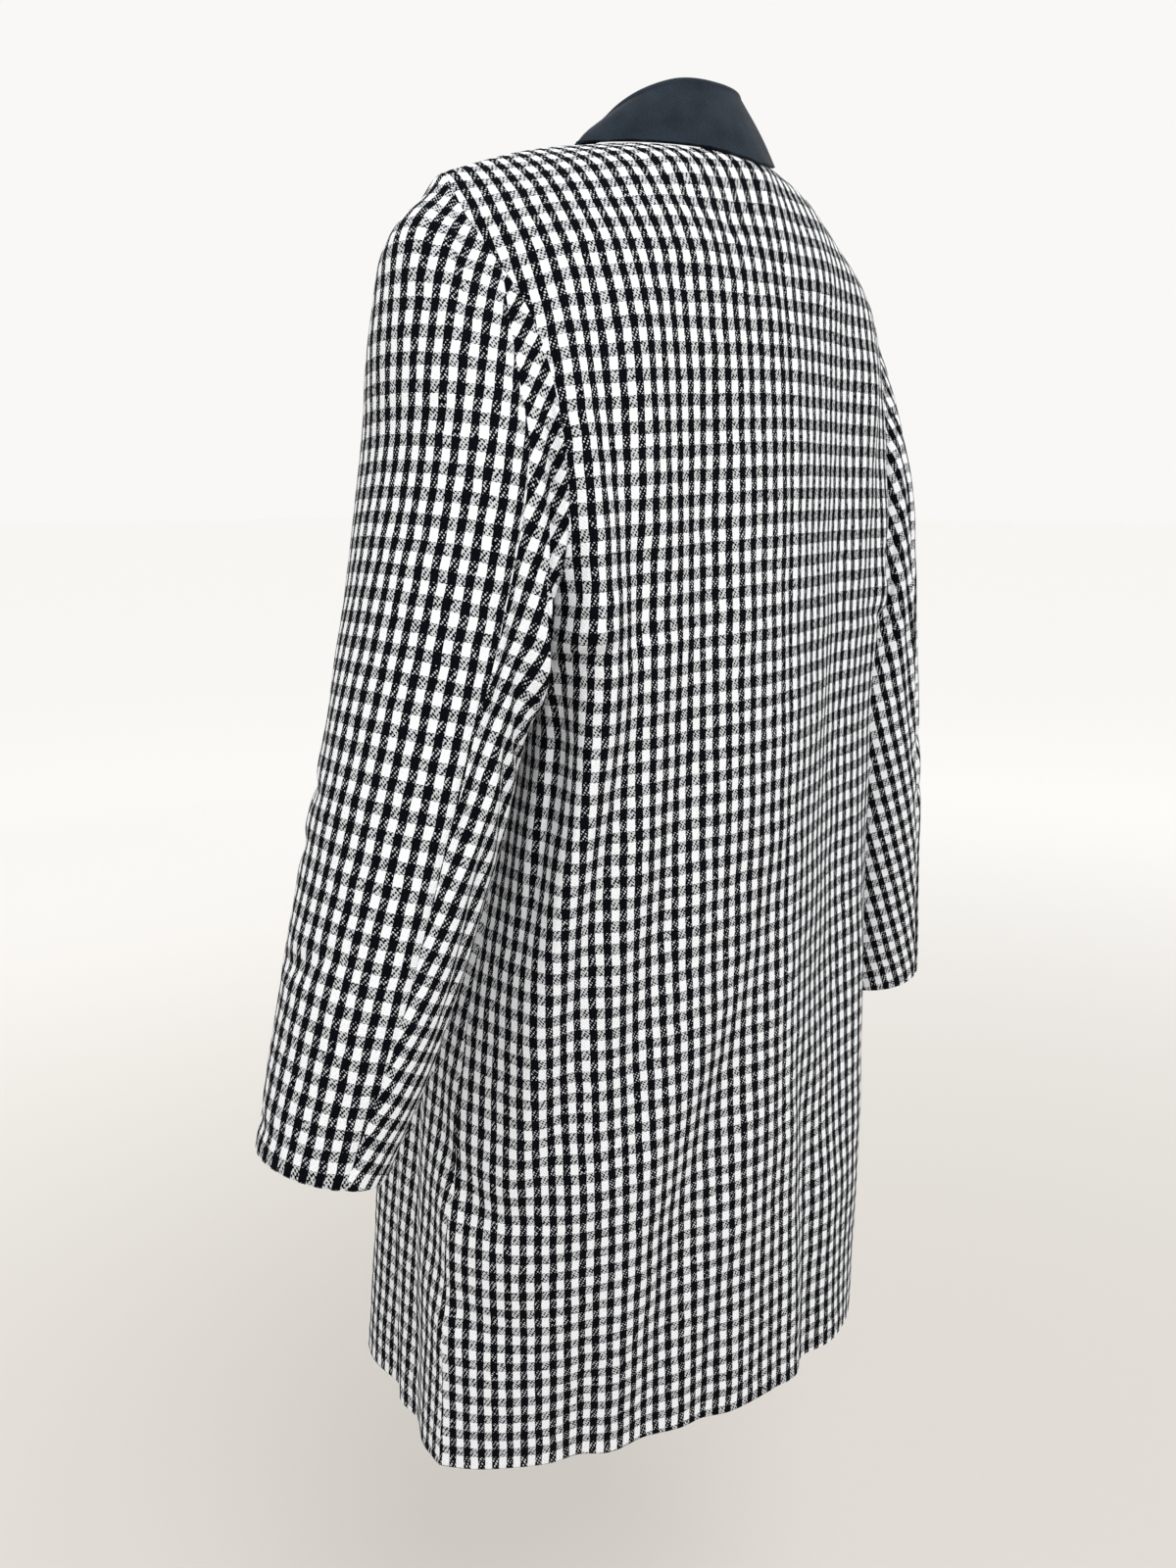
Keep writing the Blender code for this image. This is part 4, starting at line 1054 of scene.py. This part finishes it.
# the buttonholes: a worked edge round each slit, from just past the button's middle back under it
buttonhole = {
    "length": 0.027, "width": 0.0016, "cord": 0.0008, "middleX": -0.0105, "proud": 0.0004,
    "stitches": 32, "stitchDepth": 0.12, "flatness": 0.6,
}
holeThread = darkThread("Dark polyester thread, worked round a slit")
overTree = surfaceTree([outside["front_right"]])
for number, node in enumerate(buttonNodes, 1):
    low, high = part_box(node)
    height = (low[2] + high[2]) / 2
    bpy.ops.object.select_all(action="DESELECT")
    bpy.ops.mesh.primitive_torus_add(
        major_segments=96, minor_segments=10, major_radius=1.0, minor_radius=0.1, generate_uvs=False,
    )
    made = bpy.context.object
    made.name = made.data.name = f"buttonhole-{number}"
    for vertex in made.data.vertices:
        turn = math.atan2(vertex.co.y, vertex.co.x)
        rounding = 10 * (math.hypot(vertex.co.x, vertex.co.y) - 1)  # the ring is a tenth as thick as wide
        rib = 1 + buttonhole["stitchDepth"] * math.sin(buttonhole["stitches"] * turn)
        along = (buttonhole["length"] / 2 + buttonhole["cord"] * rounding) * math.cos(turn)
        aside = (buttonhole["width"] / 2 + buttonhole["cord"] * rounding) * math.sin(turn)
        spot = Vector((buttonhole["middleX"] + along, low[1], height + aside))
        foot = np.array(overTree.find_nearest(spot)[0])
        thick = buttonhole["cord"] * 10 * vertex.co.z * rib * buttonhole["flatness"]
        rise = buttonhole["proud"] + thick
        vertex.co = Vector(foot + bodyOut(foot) * rise)
    made.data.materials.append(holeThread)
    editWhole()
    bpy.ops.mesh.normals_make_consistent(inside=False)
    bpy.ops.object.mode_set(mode="OBJECT")
    bpy.ops.object.shade_smooth_by_angle(angle=math.radians(60))
    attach(made, "root")
print("buttonholes made")

# each piece's layout on the cut cloth, with its turnings, is read back and then not used
for name, piece in pieces.items():
    layout = readAll(piece.data.uv_layers["cut"].data, "uv", 2)

# stage, light and camera
stage = {
    "floorZ": -1.45, "floor": {"A": "#cac6c1", "B": "#fdfdfc"}, "shadowFade": {"From Min": 0.6, "From Max": 5.0},
    "roughness": 0.9, "studio": {"Color": "#fbfaf8", "Strength": 0.98}, "lookAt": (0, 0, -0.45),
}
bpy.ops.object.select_all(action="DESELECT")
bpy.ops.mesh.primitive_plane_add(size=120, location=(0, 0, stage["floorZ"]))
floor = bpy.context.object
floor.name = "floor"
# Emulsion paint, rolled: an even pale surface with no shine, with a painted shadow that makes it greyer
# near the coat and fades out by five metres
material, tree, shader = newMaterial("Pale emulsion paint, rolled")
spot = addNode(tree, "TexCoord")["Object"]
away = addNode(tree, "VectorMath", {0: spot}, operation="LENGTH")["Value"]
shadowFade = {"Value": away, **stage["shadowFade"]}
# painted shadow: the floor's colour is darkest near the coat, as if in its shade, and plain pale far off
share = addNode(tree, "MapRange", shadowFade, interpolation_type="SMOOTHSTEP")["Result"]
paint = addNode(tree, "Mix", {"Factor": share, **stage["floor"]}, data_type="RGBA")[2]
fillSockets(tree, shader, {"Base Color": paint, "Roughness": stage["roughness"]})
floor.data.materials.append(material)

world = bpy.data.worlds.new("studio")
world.use_nodes = True
fillSockets(world.node_tree, world.node_tree.nodes["Background"], stage["studio"])
bpy.context.scene.world = world

lamps = {  # place, size, power in watts
    "key": ((1.0, 1.7, 1.9), 1.6, 52.0),
    "fill": ((2.4, 0.2, 1.2), 2.2, 2.0),
    "front": ((-0.6, -2.6, 1.2), 2.2, 22.0),
}
for name, (place, size, power) in lamps.items():
    bpy.ops.object.light_add(type="AREA", location=place)
    lamp = bpy.context.object
    lamp.name = name
    lamp.data.shape, lamp.data.size, lamp.data.energy = "DISK", size, power
    lamp.rotation_euler = (Vector(stage["lookAt"]) - Vector(place)).to_track_quat("-Z", "Y").to_euler()

# where the camera stands, how many degrees it looks down and is turned, and its lens in millimetres
view = {"place": (0.734, 0.635, -0.224), "down": 12.44, "turn": 134, "lens": 30.0, "sensor": 36.0}
bpy.ops.object.camera_add(
    location=view["place"], rotation=(math.radians(90 - view["down"]), 0, math.radians(view["turn"])),
)
camera = bpy.context.object
camera.data.lens, camera.data.sensor_width = view["lens"], view["sensor"]
bpy.context.scene.camera = camera
bpy.context.scene.view_settings.view_transform = "Standard"
